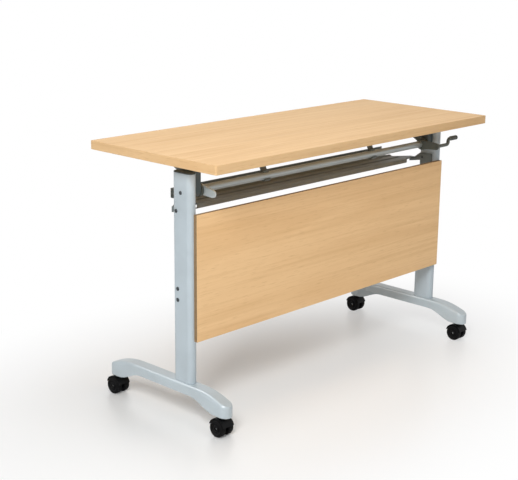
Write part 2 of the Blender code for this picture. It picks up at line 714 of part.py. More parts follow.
def peg_spot():
    return AXIS_Y - PEG_FORWARD, SHELF_TOP - PEG_DOWN


def shelf_profile():
    back = SHELF_FRONT + SHELF_DEPTH
    hem = SHELF_TOP - SHELF_HEM
    points = [(SHELF_FRONT + SHELF_HEM_RETURN, hem), (SHELF_FRONT, hem), (SHELF_FRONT, SHELF_TOP)]
    pitch = SHELF_DEPTH / (RIB_COUNT + 1)
    for rib in range(1, RIB_COUNT + 1):
        middle = SHELF_FRONT + rib * pitch
        half = RIB_WIDTH / 2
        points += [(middle - half, SHELF_TOP), (middle - half + RIB_SLOPE, SHELF_TOP + RIB_HEIGHT),
                   (middle + half - RIB_SLOPE, SHELF_TOP + RIB_HEIGHT), (middle + half, SHELF_TOP)]
    return points + [(back, SHELF_TOP), (back, SHELF_TOP + SHELF_LIP)]


def build_shelf():
    sheet = bmesh.new()
    row = [sheet.verts.new((-SHELF_END, y, z)) for y, z in shelf_profile()]
    edges = [sheet.edges.new(pair) for pair in zip(row, row[1:])]
    grown = bmesh.ops.extrude_edge_only(sheet, edges=edges)["geom"]
    far = [item for item in grown if isinstance(item, bmesh.types.BMVert)]
    bmesh.ops.translate(sheet, verts=far, vec=(2 * SHELF_END, 0, 0))
    bmesh.ops.recalc_face_normals(sheet, faces=sheet.faces)
    upward = max(sheet.faces, key=lambda face: face.calc_area()).normal.z > 0
    shelf = place("book_shelf", sheet, SHEET)
    fold = shelf.modifiers.new("sheet", "SOLIDIFY")
    fold.thickness = SHELF_SHEET
    fold.offset = -1.0 if upward else 1.0
    fold.use_even_offset = True


def build_shelf_arm(side, sign):
    under = SHELF_TOP - SHELF_SHEET - FIT_GAP
    start = SHELF_FRONT + SHELF_HEM
    end = SHELF_FRONT + ARM_LENGTH
    pad = (AXIS_Y - ARM_PAD_FRONT, AXIS_Y + ARM_PAD_BACK, SHELF_TOP - ARM_PAD_DOWN, SHELF_TOP + ARM_PAD_UP)
    root = start + ARM_ROOT
    web = [(pad[0], pad[2]), (pad[1], pad[2]), (pad[1], SHELF_TOP - ARM_WAIST), (root, under - ARM_TAIL),
           (root, under), (start, under), (pad[1], pad[3]), (pad[0], pad[3])]
    face = (sign * (HEAD_OUT - ARM_THICK), sign * HEAD_OUT)
    arm = place("shelf_arm_" + side, prism("X", *face, web), SHEET)
    joint = HEAD_OUT - ARM_THICK / 2
    inner = HEAD_OUT - ARM_FLANGE
    gusset = [(joint, start), (joint, root - FIT_GAP), (SHELF_END - ARM_LAP, end),
              (inner, end), (inner, start)]
    outline = [(sign * x, y) for x, y in gusset]
    shape_with(arm, "UNION", prism("Z", under - ARM_THICK, under, outline))
    peg_ends = (sign * (HEAD_OUT - ARM_THICK / 2), sign * (COLUMN_IN + COLUMN_WALL))
    shape_with(arm, "UNION", rod("X", peg_spot(), PEG_RADIUS, *peg_ends))
    past = (sign * (HEAD_OUT - 2 * ARM_THICK), sign * (HEAD_OUT + ARM_THICK))
    shape_with(arm, "DIFFERENCE", rod("X", shelf_bolt_spot(), BOLT_RADIUS + FIT_GAP, *past))


# Feet: a casting lofted along the desk's depth
def smooth_step(value):
    value = min(max(value, 0.0), 1.0)
    return value * value * (3 - 2 * value)


def foot_section(y):
    # Half width, underside and upper face of the foot at a distance from its middle.
    half_length = FOOT_LENGTH / 2
    half_width = FOOT_WIDTH / 2
    past = (abs(y) - (half_length - half_width)) / half_width
    if past > 0:
        half_width *= math.sqrt(max(1 - past * past, 0.0))
    pad_start = half_length - FOOT_PAD
    base = FOOT_BASE - FOOT_ARCH * smooth_step((abs(y) - FOOT_FLAT) / (pad_start - FOOT_FLAT))
    fall = max(abs(y) - FOOT_FLAT, 0.0) / (half_length - FOOT_FLAT)
    return half_width, base, FOOT_CROWN - FOOT_DROOP * fall * fall


def foot_ring(y):
    half_width, base, top = foot_section(y)
    upper = min(FOOT_TOP_ROUND, ROUND_SHARE * half_width)
    lower = min(FOOT_BASE_ROUND, ROUND_SHARE * half_width)
    ring = arc((half_width - upper, top - upper), upper, 0, 90, 3)
    ring += arc((upper - half_width, top - upper), upper, 90, 180, 3)
    ring += arc((lower - half_width, base + lower), lower, 180, 270, 1)
    ring += arc((half_width - lower, base + lower), lower, 270, 360, 1)
    return ring


def foot_stations():
    half_length = FOOT_LENGTH / 2
    tip_start = half_length - FOOT_WIDTH / 2
    run = [0.0, FOOT_FLAT / 2, FOOT_FLAT]
    slope = tip_start - FOOT_FLAT
    run += [FOOT_FLAT + slope * step / FOOT_STEPS for step in range(1, FOOT_STEPS + 1)]
    run += [tip_start + FOOT_WIDTH / 2 * math.sin(math.radians(angle)) for angle in FOOT_TIP_ANGLES]
    return [-y for y in reversed(run[1:])] + run


def build_foot(side, sign):
    bm = bmesh.new()
    x = sign * COLUMN_X
    rings = []
    for y in foot_stations():
        rings.append([bm.verts.new((x + u, y - FOOT_FORWARD, z)) for u, z in foot_ring(y)])
    for ring, following in zip(rings, rings[1:]):
        for i in range(len(ring)):
            j = (i + 1) % len(ring)
            bm.faces.new((ring[i], ring[j], following[j], following[i]))
    bm.faces.new(rings[0])
    bm.faces.new(rings[-1])
    bmesh.ops.recalc_face_normals(bm, faces=bm.faces)
    foot = place("foot_" + side, bm, CAST)
    stem_top = COLLAR_LOW + COLLAR_THICK + STEM_HEIGHT
    bore = STEM_RADIUS + FIT_GAP
    cuts = [rod("Z", (x, way * CASTER_Y - FOOT_FORWARD), bore, PAD_Z - STEM_DEPTH, stem_top + FIT_GAP)
            for _, way in ENDS]
    sink = FOOT_BASE + FOOT_BOLT_SINK
    below = FOOT_BASE - FOOT_BOLT_SINK
    above = FOOT_CROWN + FOOT_BOLT_SINK
    wide = FOOT_BOLT_HEAD + FIT_GAP
    narrow = FOOT_BOLT_RADIUS + FIT_GAP
    profile = [(0, below), (wide, below), (wide, sink), (narrow, sink), (narrow, above), (0, above)]
    cuts.append(turned("Z", (x, AXIS_Y), profile, BOLT_SIDES))
    shape_with(foot, "DIFFERENCE", together(*cuts))


def build_foot_bolt(side, sign):
    sink = FOOT_BASE + FOOT_BOLT_SINK - FIT_GAP
    low = sink - FOOT_BOLT_HEAD_THICK
    end = FOOT_CROWN + FOOT_BOLT_GRIP
    profile = [(0, low), (FOOT_BOLT_HEAD, low), (FOOT_BOLT_HEAD, sink), (FOOT_BOLT_RADIUS, sink),
               (FOOT_BOLT_RADIUS, end), (0, end)]
    place("foot_bolt_" + side, turned("Z", (sign * COLUMN_X, AXIS_Y), profile, BOLT_SIDES), STEEL)


# Casters, modelled once about the swivel axis with the axle along X, then set at four places
def stem_solid():
    low = BOSS_TOP - STEM_DEPTH + FIT_GAP
    high = COLLAR_LOW + COLLAR_THICK
    profile = [(0, high + STEM_HEIGHT), (STEM_RADIUS, high + STEM_HEIGHT), (STEM_RADIUS, high),
               (COLLAR_RADIUS, high), (COLLAR_RADIUS, COLLAR_LOW), (SWIVEL_RADIUS, COLLAR_LOW),
               (SWIVEL_RADIUS, low), (0, low)]
    return turned("Z", (0, 0), profile, BOLT_SIDES)


def wheel_solid(sign):
    # Flat facet down, so that the wheel's least radius is its rolling radius.
    half_facet = math.pi / WHEEL_SIDES
    corner = math.cos(half_facet)
    rim = WHEEL_RADIUS / corner
    inner = WEB_THICK / 2 + FIT_GAP
    outer = inner + WHEEL_WIDTH
    bore = AXLE_RADIUS / corner + FIT_GAP
    dish = outer - WHEEL_DISH
    profile = [(bore, inner), (rim - WHEEL_EDGE / 2, inner), (rim, inner + WHEEL_EDGE / 2),
               (rim, outer - WHEEL_EDGE), (rim - WHEEL_EDGE, outer), (WHEEL_RIM, outer),
               (WHEEL_RIM - WHEEL_DISH, dish), (WHEEL_BOSS, dish), (WHEEL_BOSS, outer), (bore, outer)]
    profile = [(radius, sign * x) for radius, x in profile]
    return turned("X", (TRAIL, WHEEL_RADIUS), profile, WHEEL_SIDES, True, half_facet)


def hood_web():
    low = HOOD_LOW
    axle = (TRAIL, WHEEL_RADIUS)
    outline = arc(axle, HOOD_IN + HOOD_WALL / 2, low, 180 - low, 3 * ARC_STEPS)
    outline += arc(axle, HOOD_HUB, 180, 360, 2 * ARC_STEPS)
    return prism("X", -WEB_THICK / 2, WEB_THICK / 2, outline)


def hood_cover():
    low = HOOD_LOW
    axle = (TRAIL, WHEEL_RADIUS)
    half = WEB_THICK / 2 + FIT_GAP + WHEEL_WIDTH - WHEEL_EDGE / 2
    outline = arc(axle, HOOD_OUT, low, 180 - low, 3 * ARC_STEPS)
    outline += arc(axle, HOOD_IN, 180 - low, low, 3 * ARC_STEPS)
    return prism("X", -half, half, outline)


def build_casters():
    master = {}
    for side, sign in SIDES:
        for end, way in ENDS:
            name = end + "_" + side
            spot = (sign * COLUMN_X, way * CASTER_Y - FOOT_FORWARD, 0.0)
            swivel = pivot("swivel_axis_" + name, spot)
            axle_axis = pivot("wheel_axis_" + name, (spot[0], spot[1] + TRAIL, WHEEL_RADIUS))
            build_caster(name, master, Matrix.Translation(spot), swivel, axle_axis)


def build_caster(name, master, pose, swivel, axle_axis):
    if not master:
        axle_half = WEB_THICK / 2 + FIT_GAP + WHEEL_WIDTH - WHEEL_DISH
        solids = {
            "caster_stem_": (stem_solid(), STEEL),
            "caster_axle_": (rod("X", (TRAIL, WHEEL_RADIUS), AXLE_RADIUS, -axle_half, axle_half), STEEL),
            "wheel_a_": (wheel_solid(-1), TYRE),
            "wheel_b_": (wheel_solid(1), TYRE),
        }
        for kind, (solid, material) in solids.items():
            made = place(kind + name, solid, material)
            master[kind] = made.data
            bpy.data.objects.remove(made)
        master["hood"] = hood_mesh(name)
    place_mesh("caster_stem_" + name, master["caster_stem_"], None, pose)
    place_mesh("caster_hood_" + name, master["hood"], swivel, pose)
    place_mesh("caster_axle_" + name, master["caster_axle_"], swivel, pose)
    place_mesh("wheel_a_" + name, master["wheel_a_"], axle_axis, pose)
    place_mesh("wheel_b_" + name, master["wheel_b_"], axle_axis, pose)


def hood_mesh(name):
    hood = place("caster_hood_" + name, hood_web(), NYLON)
    shape_with(hood, "UNION", hood_cover())
    cover_at_stem = WHEEL_RADIUS + math.sqrt(HOOD_IN ** 2 - TRAIL ** 2)
    shape_with(hood, "UNION", rod("Z", (0, 0), BOSS_RADIUS, cover_at_stem, BOSS_TOP, BORE_SIDES))
    stem_bore = rod("Z", (0, 0), SWIVEL_RADIUS + FIT_GAP, BOSS_TOP - STEM_DEPTH, BOSS_TOP + STEM_DEPTH)
    shape_with(hood, "DIFFERENCE", stem_bore)
    axle_bore = rod("X", (TRAIL, WHEEL_RADIUS), AXLE_RADIUS + FIT_GAP, -WEB_THICK, WEB_THICK)
    shape_with(hood, "DIFFERENCE", axle_bore)
    solid = evaluated(hood)
    mesh = bpy.data.meshes.new("caster_hood")
    solid.to_mesh(mesh)
    solid.free()
    mesh.materials.append(NYLON)
    shade(mesh)
    return mesh


def build_desk():
    flip = pivot("flip_axis", (0.0, AXIS_Y, AXIS_Z))
    turn = pivot("release_axis", (0.0, AXIS_Y, AXIS_Z))
    build_top(flip)
    for side, sign in SIDES:
        build_flip_bracket(side, sign, flip)
        build_hanger(side, sign, flip)
        build_foot(side, sign)
        build_column(side, sign)
        build_head(side, sign)
        build_lock(side, sign)
        build_shelf_arm(side, sign)
        build_shelf_bolt(side, sign)
        build_foot_bolt(side, sign)
    build_release(turn)
    build_panel()
    build_shelf()
    build_casters()


build_desk()
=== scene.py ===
import json
import math

import bmesh
import bpy
from mathutils import Matrix, Vector

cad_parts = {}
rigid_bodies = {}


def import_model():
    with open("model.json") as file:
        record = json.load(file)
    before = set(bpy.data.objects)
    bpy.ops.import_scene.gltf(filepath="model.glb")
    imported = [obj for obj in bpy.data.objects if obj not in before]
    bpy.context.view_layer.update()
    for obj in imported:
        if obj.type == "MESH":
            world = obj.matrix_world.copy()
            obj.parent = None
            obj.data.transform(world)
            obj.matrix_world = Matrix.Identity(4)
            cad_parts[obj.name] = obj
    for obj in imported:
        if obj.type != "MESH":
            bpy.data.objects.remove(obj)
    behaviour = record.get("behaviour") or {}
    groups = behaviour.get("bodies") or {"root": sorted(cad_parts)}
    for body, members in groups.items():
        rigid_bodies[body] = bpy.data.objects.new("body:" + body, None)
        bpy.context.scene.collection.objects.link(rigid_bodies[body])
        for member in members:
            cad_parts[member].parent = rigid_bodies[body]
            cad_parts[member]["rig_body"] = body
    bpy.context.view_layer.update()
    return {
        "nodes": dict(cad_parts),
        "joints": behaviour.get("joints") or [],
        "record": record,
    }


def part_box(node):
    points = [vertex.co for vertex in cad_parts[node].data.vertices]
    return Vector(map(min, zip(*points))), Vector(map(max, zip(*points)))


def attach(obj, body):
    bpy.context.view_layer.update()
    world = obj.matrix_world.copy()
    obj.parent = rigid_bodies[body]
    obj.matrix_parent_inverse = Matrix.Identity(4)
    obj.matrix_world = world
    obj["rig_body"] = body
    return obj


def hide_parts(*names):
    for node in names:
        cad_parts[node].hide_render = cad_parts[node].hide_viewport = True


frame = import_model()
nodes = frame["nodes"]
joints = {joint["name"]: joint for joint in frame["joints"]}
slotOf = {part["node"]: part["material_slot"] for part in frame["record"]["subparts"]}
axisY, axisZ = joints["top_flip"]["pos_m"][1:]  # the bar that the top flips about
sides = {"left": -1, "right": 1}
fitGap = 0.0003  # between pieces that touch
tiny, nodeMerge = 0.000001, 0.00001  # corners this near are one, in a new shape and in a node's mesh
casterNames = [end + "_" + side for end in ("front", "rear") for side in sides]
alongX = Matrix(((0, 0, 1, 0), (1, 0, 0, 0), (0, 1, 0, 0), (0, 0, 0, 1)))  # local x, y, z to Y, Z, X
print("frame loaded:", len(nodes), "nodes")


# finishes, all on object coordinates
finishes = {}


def tone(red, green, blue):
    # a display colour, 0 to 255, as the linear colour of a shader socket
    linear = [((part / 255 + 0.055) / 1.055) ** 2.4 for part in (red, green, blue)]
    return (*linear, 1.0)


def startFinish(name, roughness, metallic=0.0):
    material = bpy.data.materials.new(name)
    material.use_nodes = True
    finishes[name] = material
    shader = material.node_tree.nodes["Principled BSDF"]
    shader.inputs["Roughness"].default_value = roughness
    shader.inputs["Metallic"].default_value = metallic
    return material.node_tree, shader


def addNode(tree, kind, **inputs):
    node = tree.nodes.new(kind)
    for name, value in inputs.items():
        node.inputs[name].default_value = value
    return node


def noiseOn(tree, stretch, scale, detail=3.0, distortion=0.0):
    spot = addNode(tree, "ShaderNodeTexCoord")
    mapping = addNode(tree, "ShaderNodeMapping", Scale=stretch)
    noise = addNode(tree, "ShaderNodeTexNoise", Scale=scale, Detail=detail, Distortion=distortion)
    tree.links.new(spot.outputs["Object"], mapping.inputs["Vector"])
    tree.links.new(mapping.outputs["Vector"], noise.inputs["Vector"])
    return noise.outputs["Fac"]


def grey(level):
    return (level, level, level, 1.0)


def rampOf(tree, value, *stops):
    ramp = tree.nodes.new("ShaderNodeValToRGB")
    elements = ramp.color_ramp.elements
    while len(elements) < len(stops):
        elements.new(0.5)
    for element, (spot, colour) in zip(elements, stops):
        element.position = spot
        element.color = colour
    tree.links.new(value, ramp.inputs["Fac"])
    return ramp.outputs["Color"]


def shareOf(tree, value, stops, most):
    # none below the first stop, and the most from the second one on
    return rampOf(tree, value, (stops[0], grey(0.0)), (stops[1], grey(most)))


def mixOf(tree, factor, first, second):
    mix = tree.nodes.new("ShaderNodeMix")
    mix.data_type = "RGBA"
    tree.links.new(factor, mix.inputs["Factor"])
    for name, value in (("A", first), ("B", second)):
        socket = next(put for put in mix.inputs if put.name == name and put.type == "RGBA")
        if isinstance(value, tuple):
            socket.default_value = value
        else:
            tree.links.new(value, socket)
    return next(out for out in mix.outputs if out.type == "RGBA")


noiseSpan = {"From Min": 0.3, "From Max": 0.7}  # where most of a noise lies


def spread(tree, value, low, high):
    ends = {"To Min": low, "To Max": high}
    span = addNode(tree, "ShaderNodeMapRange", **noiseSpan, **ends)
    tree.links.new(value, span.inputs["Value"])
    return span.outputs["Result"]


def bumpFrom(tree, shader, height, strength, distance):
    bump = addNode(tree, "ShaderNodeBump", Strength=strength, Distance=distance)
    tree.links.new(height, bump.inputs["Height"])
    tree.links.new(bump.outputs["Normal"], shader.inputs["Normal"])


beech = {
    "pale": (247, 207, 156), "warm": (239, 197, 145), "vein": (222, 177, 124), "fleck": (203, 156, 104),
    "band": (0.45, 5.5), "line": (0.9, 70.0), "pore": (26.0, 420.0),  # stretch along and across the grain
    "bandScale": 1.7, "bandBend": 0.9, "lineScale": 1.6, "lineBend": 0.4,
    "bandStops": (0.34, 0.50, 0.66), "veinStops": (0.48, 0.72), "fleckStops": (0.60, 0.74),
    "veinShare": 0.38, "fleckShare": 0.28,
    "roughLow": 0.44, "roughHigh": 0.56, "relief": 0.00015, "bump": 0.35, "gloss": 0.10,
}


def beechFinish(name, shade, level=False):
    # grain along X, or level all the way round an edge
    tree, shader = startFinish(name, (beech["roughLow"] + beech["roughHigh"]) / 2)
    shader.inputs["Specular IOR Level"].default_value = beech["gloss"]
    colours = {key: tone(*[part * shade for part in beech[key]]) for key in ("pale", "warm", "vein", "fleck")}
    second = 0 if level else 1
    stretch = {key: (beech[key][0], beech[key][second], beech[key][1]) for key in ("band", "line", "pore")}
    band = noiseOn(tree, stretch["band"], beech["bandScale"], detail=2.0, distortion=beech["bandBend"])
    line = noiseOn(tree, stretch["line"], beech["lineScale"], detail=4.0, distortion=beech["lineBend"])
    pore = noiseOn(tree, stretch["pore"], 1.0, detail=1.0)
    bandColours = [colours[key] for key in ("warm", "pale", "warm")]
    ground = rampOf(tree, band, *zip(beech["bandStops"], bandColours))
    veins = shareOf(tree, line, beech["veinStops"], beech["veinShare"])
    flecks = shareOf(tree, pore, beech["fleckStops"], beech["fleckShare"])
    lined = mixOf(tree, veins, ground, colours["vein"])
    flecked = mixOf(tree, flecks, lined, colours["fleck"])
    tree.links.new(flecked, shader.inputs["Base Color"])
    tree.links.new(spread(tree, line, beech["roughLow"], beech["roughHigh"]), shader.inputs["Roughness"])
    bumpFrom(tree, shader, pore, beech["bump"], beech["relief"])


coats = {
    "pale_grey_paint": {"colour": (187, 199, 206), "rough": 0.42, "metal": 0.0, "gloss": 0.5,
                        "grain": 1400.0, "relief": 0.00006},
    "pale_grey_casting": {"colour": (188, 200, 206), "rough": 0.30, "metal": 0.0, "gloss": 0.9,
                          "grain": 700.0, "relief": 0.00010},
    "dark_grey_paint": {"colour": (94, 100, 95), "rough": 0.50, "metal": 0.0, "gloss": 0.4,
                        "grain": 1400.0, "relief": 0.00006},
    "dark_plastic": {"colour": (76, 86, 88), "rough": 0.55, "metal": 0.0, "gloss": 0.4,
                     "grain": 1800.0, "relief": 0.00008},
    "graphite_sheet": {"colour": (112, 120, 120), "rough": 0.48, "metal": 0.0, "gloss": 0.4,
                       "grain": 1100.0, "relief": 0.00006},
    # painted light: a paler copy of the shelf's sheet for its front hem, for light it catches at the front
    "shelf_hem_painted_light": {"colour": (152, 160, 162), "rough": 0.48, "metal": 0.0, "gloss": 0.4,
                  "grain": 1100.0, "relief": 0.00006},
    "black_nylon": {"colour": (13, 13, 14), "rough": 0.44, "metal": 0.0, "gloss": 0.12,
                    "grain": 1900.0, "relief": 0.00008},
    "black_tyre": {"colour": (11, 11, 12), "rough": 0.60, "metal": 0.0, "gloss": 0.10,
                   "grain": 1200.0, "relief": 0.00010},
    "grey_grip": {"colour": (98, 102, 100), "rough": 0.66, "metal": 0.0, "gloss": 0.3,
                  "grain": 2200.0, "relief": 0.00012},
    # painted light: a paler finish for the left release lever, for light the top keeps off it
    "left_lever_painted_light": {"colour": (216, 228, 232), "rough": 0.38, "metal": 0.0, "gloss": 0.6,
                     "grain": 900.0, "relief": 0.00005},
    "dark_bolt": {"colour": (60, 65, 68), "rough": 0.45, "metal": 0.2, "gloss": 0.4,
                  "grain": 420.0, "relief": 0.00003},
    "zinc_steel": {"colour": (128, 130, 130), "rough": 0.38, "metal": 0.85, "gloss": 0.5,
                   "grain": 420.0, "relief": 0.00003},
}


skin = {"cloudScale": 9.0, "cloudStops": (0.30, 0.52, 0.75), "deep": 0.955, "bright": 1.03,
        "pitStops": (0.45, 0.75), "pitShare": 0.35, "smoother": 0.04, "rougher": 0.05, "bump": 0.5}


def coatFinish(name, coat):
    # a sprayed or moulded skin: fine pebble, with a faint cloud in its colour and gloss
    tree, shader = startFinish(name, coat["rough"], coat["metal"])
    shader.inputs["Specular IOR Level"].default_value = coat["gloss"]
    cloud = noiseOn(tree, (1.0, 1.0, 1.0), skin["cloudScale"], detail=3.0)
    pebble = noiseOn(tree, (1.0, 1.0, 1.0), coat["grain"], detail=2.0)
    deep = tone(*[part * skin["deep"] for part in coat["colour"]])
    full = tone(*coat["colour"])
    bright = tone(*[min(part * skin["bright"], 255) for part in coat["colour"]])
    clouded = rampOf(tree, cloud, *zip(skin["cloudStops"], (deep, full, bright)))
    speckled = mixOf(tree, shareOf(tree, pebble, skin["pitStops"], skin["pitShare"]), clouded, deep)
    tree.links.new(speckled, shader.inputs["Base Color"])
    worn = spread(tree, cloud, coat["rough"] - skin["smoother"], coat["rough"] + skin["rougher"])
    tree.links.new(worn, shader.inputs["Roughness"])
    bumpFrom(tree, shader, pebble, skin["bump"], coat["relief"])


satin = {"colour": (184, 194, 196), "rough": 0.32, "metal": 0.3, "relief": 0.00003, "bump": 0.4,
         "stretch": (6.0, 700.0, 700.0), "streakStops": (0.32, 0.62), "deep": 0.86,
         "cloudStretch": (1.0, 6.0, 6.0), "cloudScale": 5.0, "cloudStops": (0.4, 0.7), "cloudShare": 0.3,
         "smoother": 0.06, "rougher": 0.10}


def satinFinish(name):
    # bar stock drawn along its length
    tree, shader = startFinish(name, satin["rough"], satin["metal"])
    drawn = noiseOn(tree, satin["stretch"], 1.0, detail=3.0)
    cloud = noiseOn(tree, satin["cloudStretch"], satin["cloudScale"], detail=2.0)
    deep = tone(*[part * satin["deep"] for part in satin["colour"]])
    streaks = rampOf(tree, drawn, *zip(satin["streakStops"], (deep, tone(*satin["colour"]))))
    dulled = mixOf(tree, shareOf(tree, cloud, satin["cloudStops"], satin["cloudShare"]), streaks, deep)
    tree.links.new(dulled, shader.inputs["Base Color"])
    worn = spread(tree, drawn, satin["rough"] - satin["smoother"], satin["rough"] + satin["rougher"])
    tree.links.new(worn, shader.inputs["Roughness"])
    bumpFrom(tree, shader, drawn, satin["bump"], satin["relief"])


beechFinish("beech_laminate", shade=1.0)
beechFinish("beech_edge_band", shade=0.95, level=True)
beechFinish("beech_panel_edge", shade=0.60, level=True)
for coatName, coatSizes in coats.items():
    coatFinish(coatName, coatSizes)
satinFinish("satin_bar")
print("finishes made:", len(finishes))


# shapes
def boxShape(low, high):
    bm = bmesh.new()
    low, high = Vector(low), Vector(high)
    spot = Matrix.Translation((low + high) / 2) @ Matrix.Diagonal((*(high - low), 1.0))
    bmesh.ops.create_cube(bm, size=1.0, matrix=spot)
    return bm


def edgesAlong(bm, axis):
    others = [index for index in range(3) if index != axis]
    return [edge for edge in bm.edges
            if all(abs(edge.verts[0].co[index] - edge.verts[1].co[index]) < tiny for index in others)]


def sharpEdges(bm, degrees=60):
    limit = math.radians(degrees)
    return [edge for edge in bm.edges if len(edge.link_faces) == 2 and edge.calc_face_angle() > limit]


def roundEdges(bm, edges, width, steps):
    bmesh.ops.bevel(bm, geom=list(edges), offset=width, offset_type="OFFSET", segments=steps, profile=0.5,
                    affect="EDGES", clamp_overlap=True, material=-1)


def openThrough(bm, wall):
    # makes a tube of a block that is closed at both ends of Z
    ends = [face for face in bm.faces if abs(face.normal.z) > 0.999]
    bmesh.ops.inset_region(bm, faces=ends, thickness=wall, use_even_offset=True)
    bmesh.ops.delete(bm, geom=ends, context="FACES_ONLY")
    bmesh.ops.bridge_loops(bm, edges=[edge for edge in bm.edges if edge.is_boundary])


def turnedShape(profile, steps, closed=False):
    # a profile of (radius, height) spun about Z
    bm = bmesh.new()
    dots = [bm.verts.new((radius, 0.0, height)) for radius, height in profile]
    lines = [bm.edges.new(pair) for pair in zip(dots, dots[1:])]
    if closed:
        lines.append(bm.edges.new((dots[-1], dots[0])))
    bmesh.ops.spin(bm, geom=dots + lines, cent=(0, 0, 0), axis=(0, 0, 1), angle=2 * math.pi, steps=steps,
                   use_merge=True)
    bmesh.ops.remove_doubles(bm, verts=bm.verts, dist=tiny)
    bmesh.ops.recalc_face_normals(bm, faces=bm.faces)
    return bm


def arcDots(bm, centre, radius, start, stop, steps):
    angle = math.radians(start)
    first = bm.verts.new((centre[0] + radius * math.cos(angle), centre[1] + radius * math.sin(angle), 0.0))
    known = len(bm.verts)
    bmesh.ops.spin(bm, geom=[first], cent=(*centre, 0.0), axis=(0, 0, 1), angle=math.radians(stop - start),
                   steps=steps)
    bm.verts.ensure_lookup_table()
    return [first] + bm.verts[known:]


def plateShape(low, high, *parts):
    # an outline of (u, v) points and (centre, radius, start, stop, steps) arcs, from low to high along Z
    bm = bmesh.new()
    ring = []
    for part in parts:
        ring += [bm.verts.new((*part, 0.0))] if len(part) == 2 else arcDots(bm, *part)
    face = bm.faces.new(ring)
    grown = bmesh.ops.extrude_face_region(bm, geom=[face])["geom"]
    far = [item for item in grown if isinstance(item, bmesh.types.BMVert)]
    bmesh.ops.translate(bm, verts=far, vec=(0, 0, high - low))
    bmesh.ops.translate(bm, verts=bm.verts, vec=(0, 0, low))
    bmesh.ops.recalc_face_normals(bm, faces=bm.faces)
    return bm


def rodShape(radius, low, high, steps):
    bm = bmesh.new()
    bmesh.ops.create_cone(bm, cap_ends=True, segments=steps, radius1=radius, radius2=radius, depth=high - low,
                          matrix=Matrix.Translation((0, 0, (low + high) / 2)))
    return bm


def shaped(bm, operation, tool):
    # one bmesh joined with, or cut by, another
    holders = []
    for part in (bm, tool):
        mesh = bpy.data.meshes.new("work")
        part.to_mesh(mesh)
        part.free()
        holders.append(bpy.data.objects.new("work", mesh))
        bpy.context.scene.collection.objects.link(holders[-1])
    step = holders[0].modifiers.new("shape", "BOOLEAN")
    step.operation = operation
    step.object = holders[1]
    made = bmesh.new()
    made.from_object(holders[0], bpy.context.evaluated_depsgraph_get())
    for holder in holders:
        mesh = holder.data
        bpy.data.objects.remove(holder)
        bpy.data.meshes.remove(mesh)
    return made


def moved(bm, matrix):
    copy = bm.copy()
    copy.transform(matrix)
    if matrix.determinant() < 0:
        bmesh.ops.reverse_faces(copy, faces=copy.faces)
    return copy


def softened(node, width, steps=2):
    # a copy of a node's mesh with its sharp edges broken
    bm = bmesh.new()
    bm.from_mesh(nodes[node].data)
    bmesh.ops.remove_doubles(bm, verts=bm.verts, dist=nodeMerge)
    bmesh.ops.dissolve_limit(bm, angle_limit=math.radians(1), verts=bm.verts, edges=bm.edges)
    roundEdges(bm, sharpEdges(bm, degrees=40), width, steps)
    return bm


# pieces
smoothUpTo = 38  # degrees between two faces that shade as one


def newPiece(name, bm, slot, body, finish=None, smooth=smoothUpTo):
    mesh = bpy.data.meshes.new(name)
    bm.to_mesh(mesh)
    bm.free()
    mesh.shade_smooth()
    mesh.set_sharp_from_angle(angle=math.radians(smooth))
    mesh.materials.append(finishes[finish or slot])
    piece = bpy.data.objects.new(name, mesh)
    bpy.context.scene.collection.objects.link(piece)
    evened = piece.modifiers.new("even shading", "WEIGHTED_NORMAL")
    evened.keep_sharp = True
    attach(piece, body)
    return piece


def standIn(node, bm, word, finish=None, smooth=smoothUpTo):
    # a finer piece in the place of a node, on its body and with its slot
    piece = newPiece(node + "_" + word, bm, slotOf[node], nodes[node]["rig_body"], finish, smooth)
    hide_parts(node)
    return piece


topBoard = {"bandWall": 0.0017, "corner": 0.004, "coreCorner": 0.002, "cornerSteps": 6,
            "edge": 0.0012, "edgeSteps": 3, "seam": 0.0002}


def makeTop():
    core = boxShape(*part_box("table_top"))
    roundEdges(core, edgesAlong(core, 2), topBoard["coreCorner"], topBoard["cornerSteps"])
    roundEdges(core, sharpEdges(core), topBoard["seam"], 1)
    standIn("table_top", core, "board")
    band = boxShape(*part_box("top_edge_band"))
    roundEdges(band, edgesAlong(band, 2), topBoard["corner"], topBoard["cornerSteps"])
    roundEdges(band, sharpEdges(band), topBoard["edge"], topBoard["edgeSteps"])
    openThrough(band, topBoard["bandWall"] - topBoard["edge"])
    standIn("top_edge_band", band, "strip")


modesty = {"edge": 0.0009, "edgeSteps": 3}


def makePanel():
    board = boxShape(*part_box("modesty_panel"))
    roundEdges(board, list(board.edges), modesty["edge"], modesty["edgeSteps"])
    for face in board.faces:
        face.material_index = 0 if abs(face.normal.y) > 0.5 else 1  # its edge faces are darker
    standIn("modesty_panel", board, "board").data.materials.append(finishes["beech_panel_edge"])


makeTop()
makePanel()
print("boards made")


columnTube = {"corner": 0.0148, "cornerSteps": 12, "wall": 0.002,
              "boltHole": 0.0033, "barHole": 0.0143, "endHole": 0.0053, "pinHole": 0.0043, "holeSteps": 28,
              "pegForward": 0.010, "pegDrop": 0.066}
panelBolts = {"back": 0.013, "pitch": 0.031,  # from the bar's axis, and between the two
              "plate": 0.004, "past": 0.006}  # bracket under the nut, and thread past the bracket


def panelBoltSpots(side):
    low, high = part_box("panel_bracket_" + side)
    level = (low.z + high.z) / 2
    return [(axisY + panelBolts["back"], level + way * panelBolts["pitch"] / 2) for way in (-1, 1)]


def nodeSpot(node):
    low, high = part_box(node)
    return (low.y + high.y) / 2, (low.z + high.z) / 2


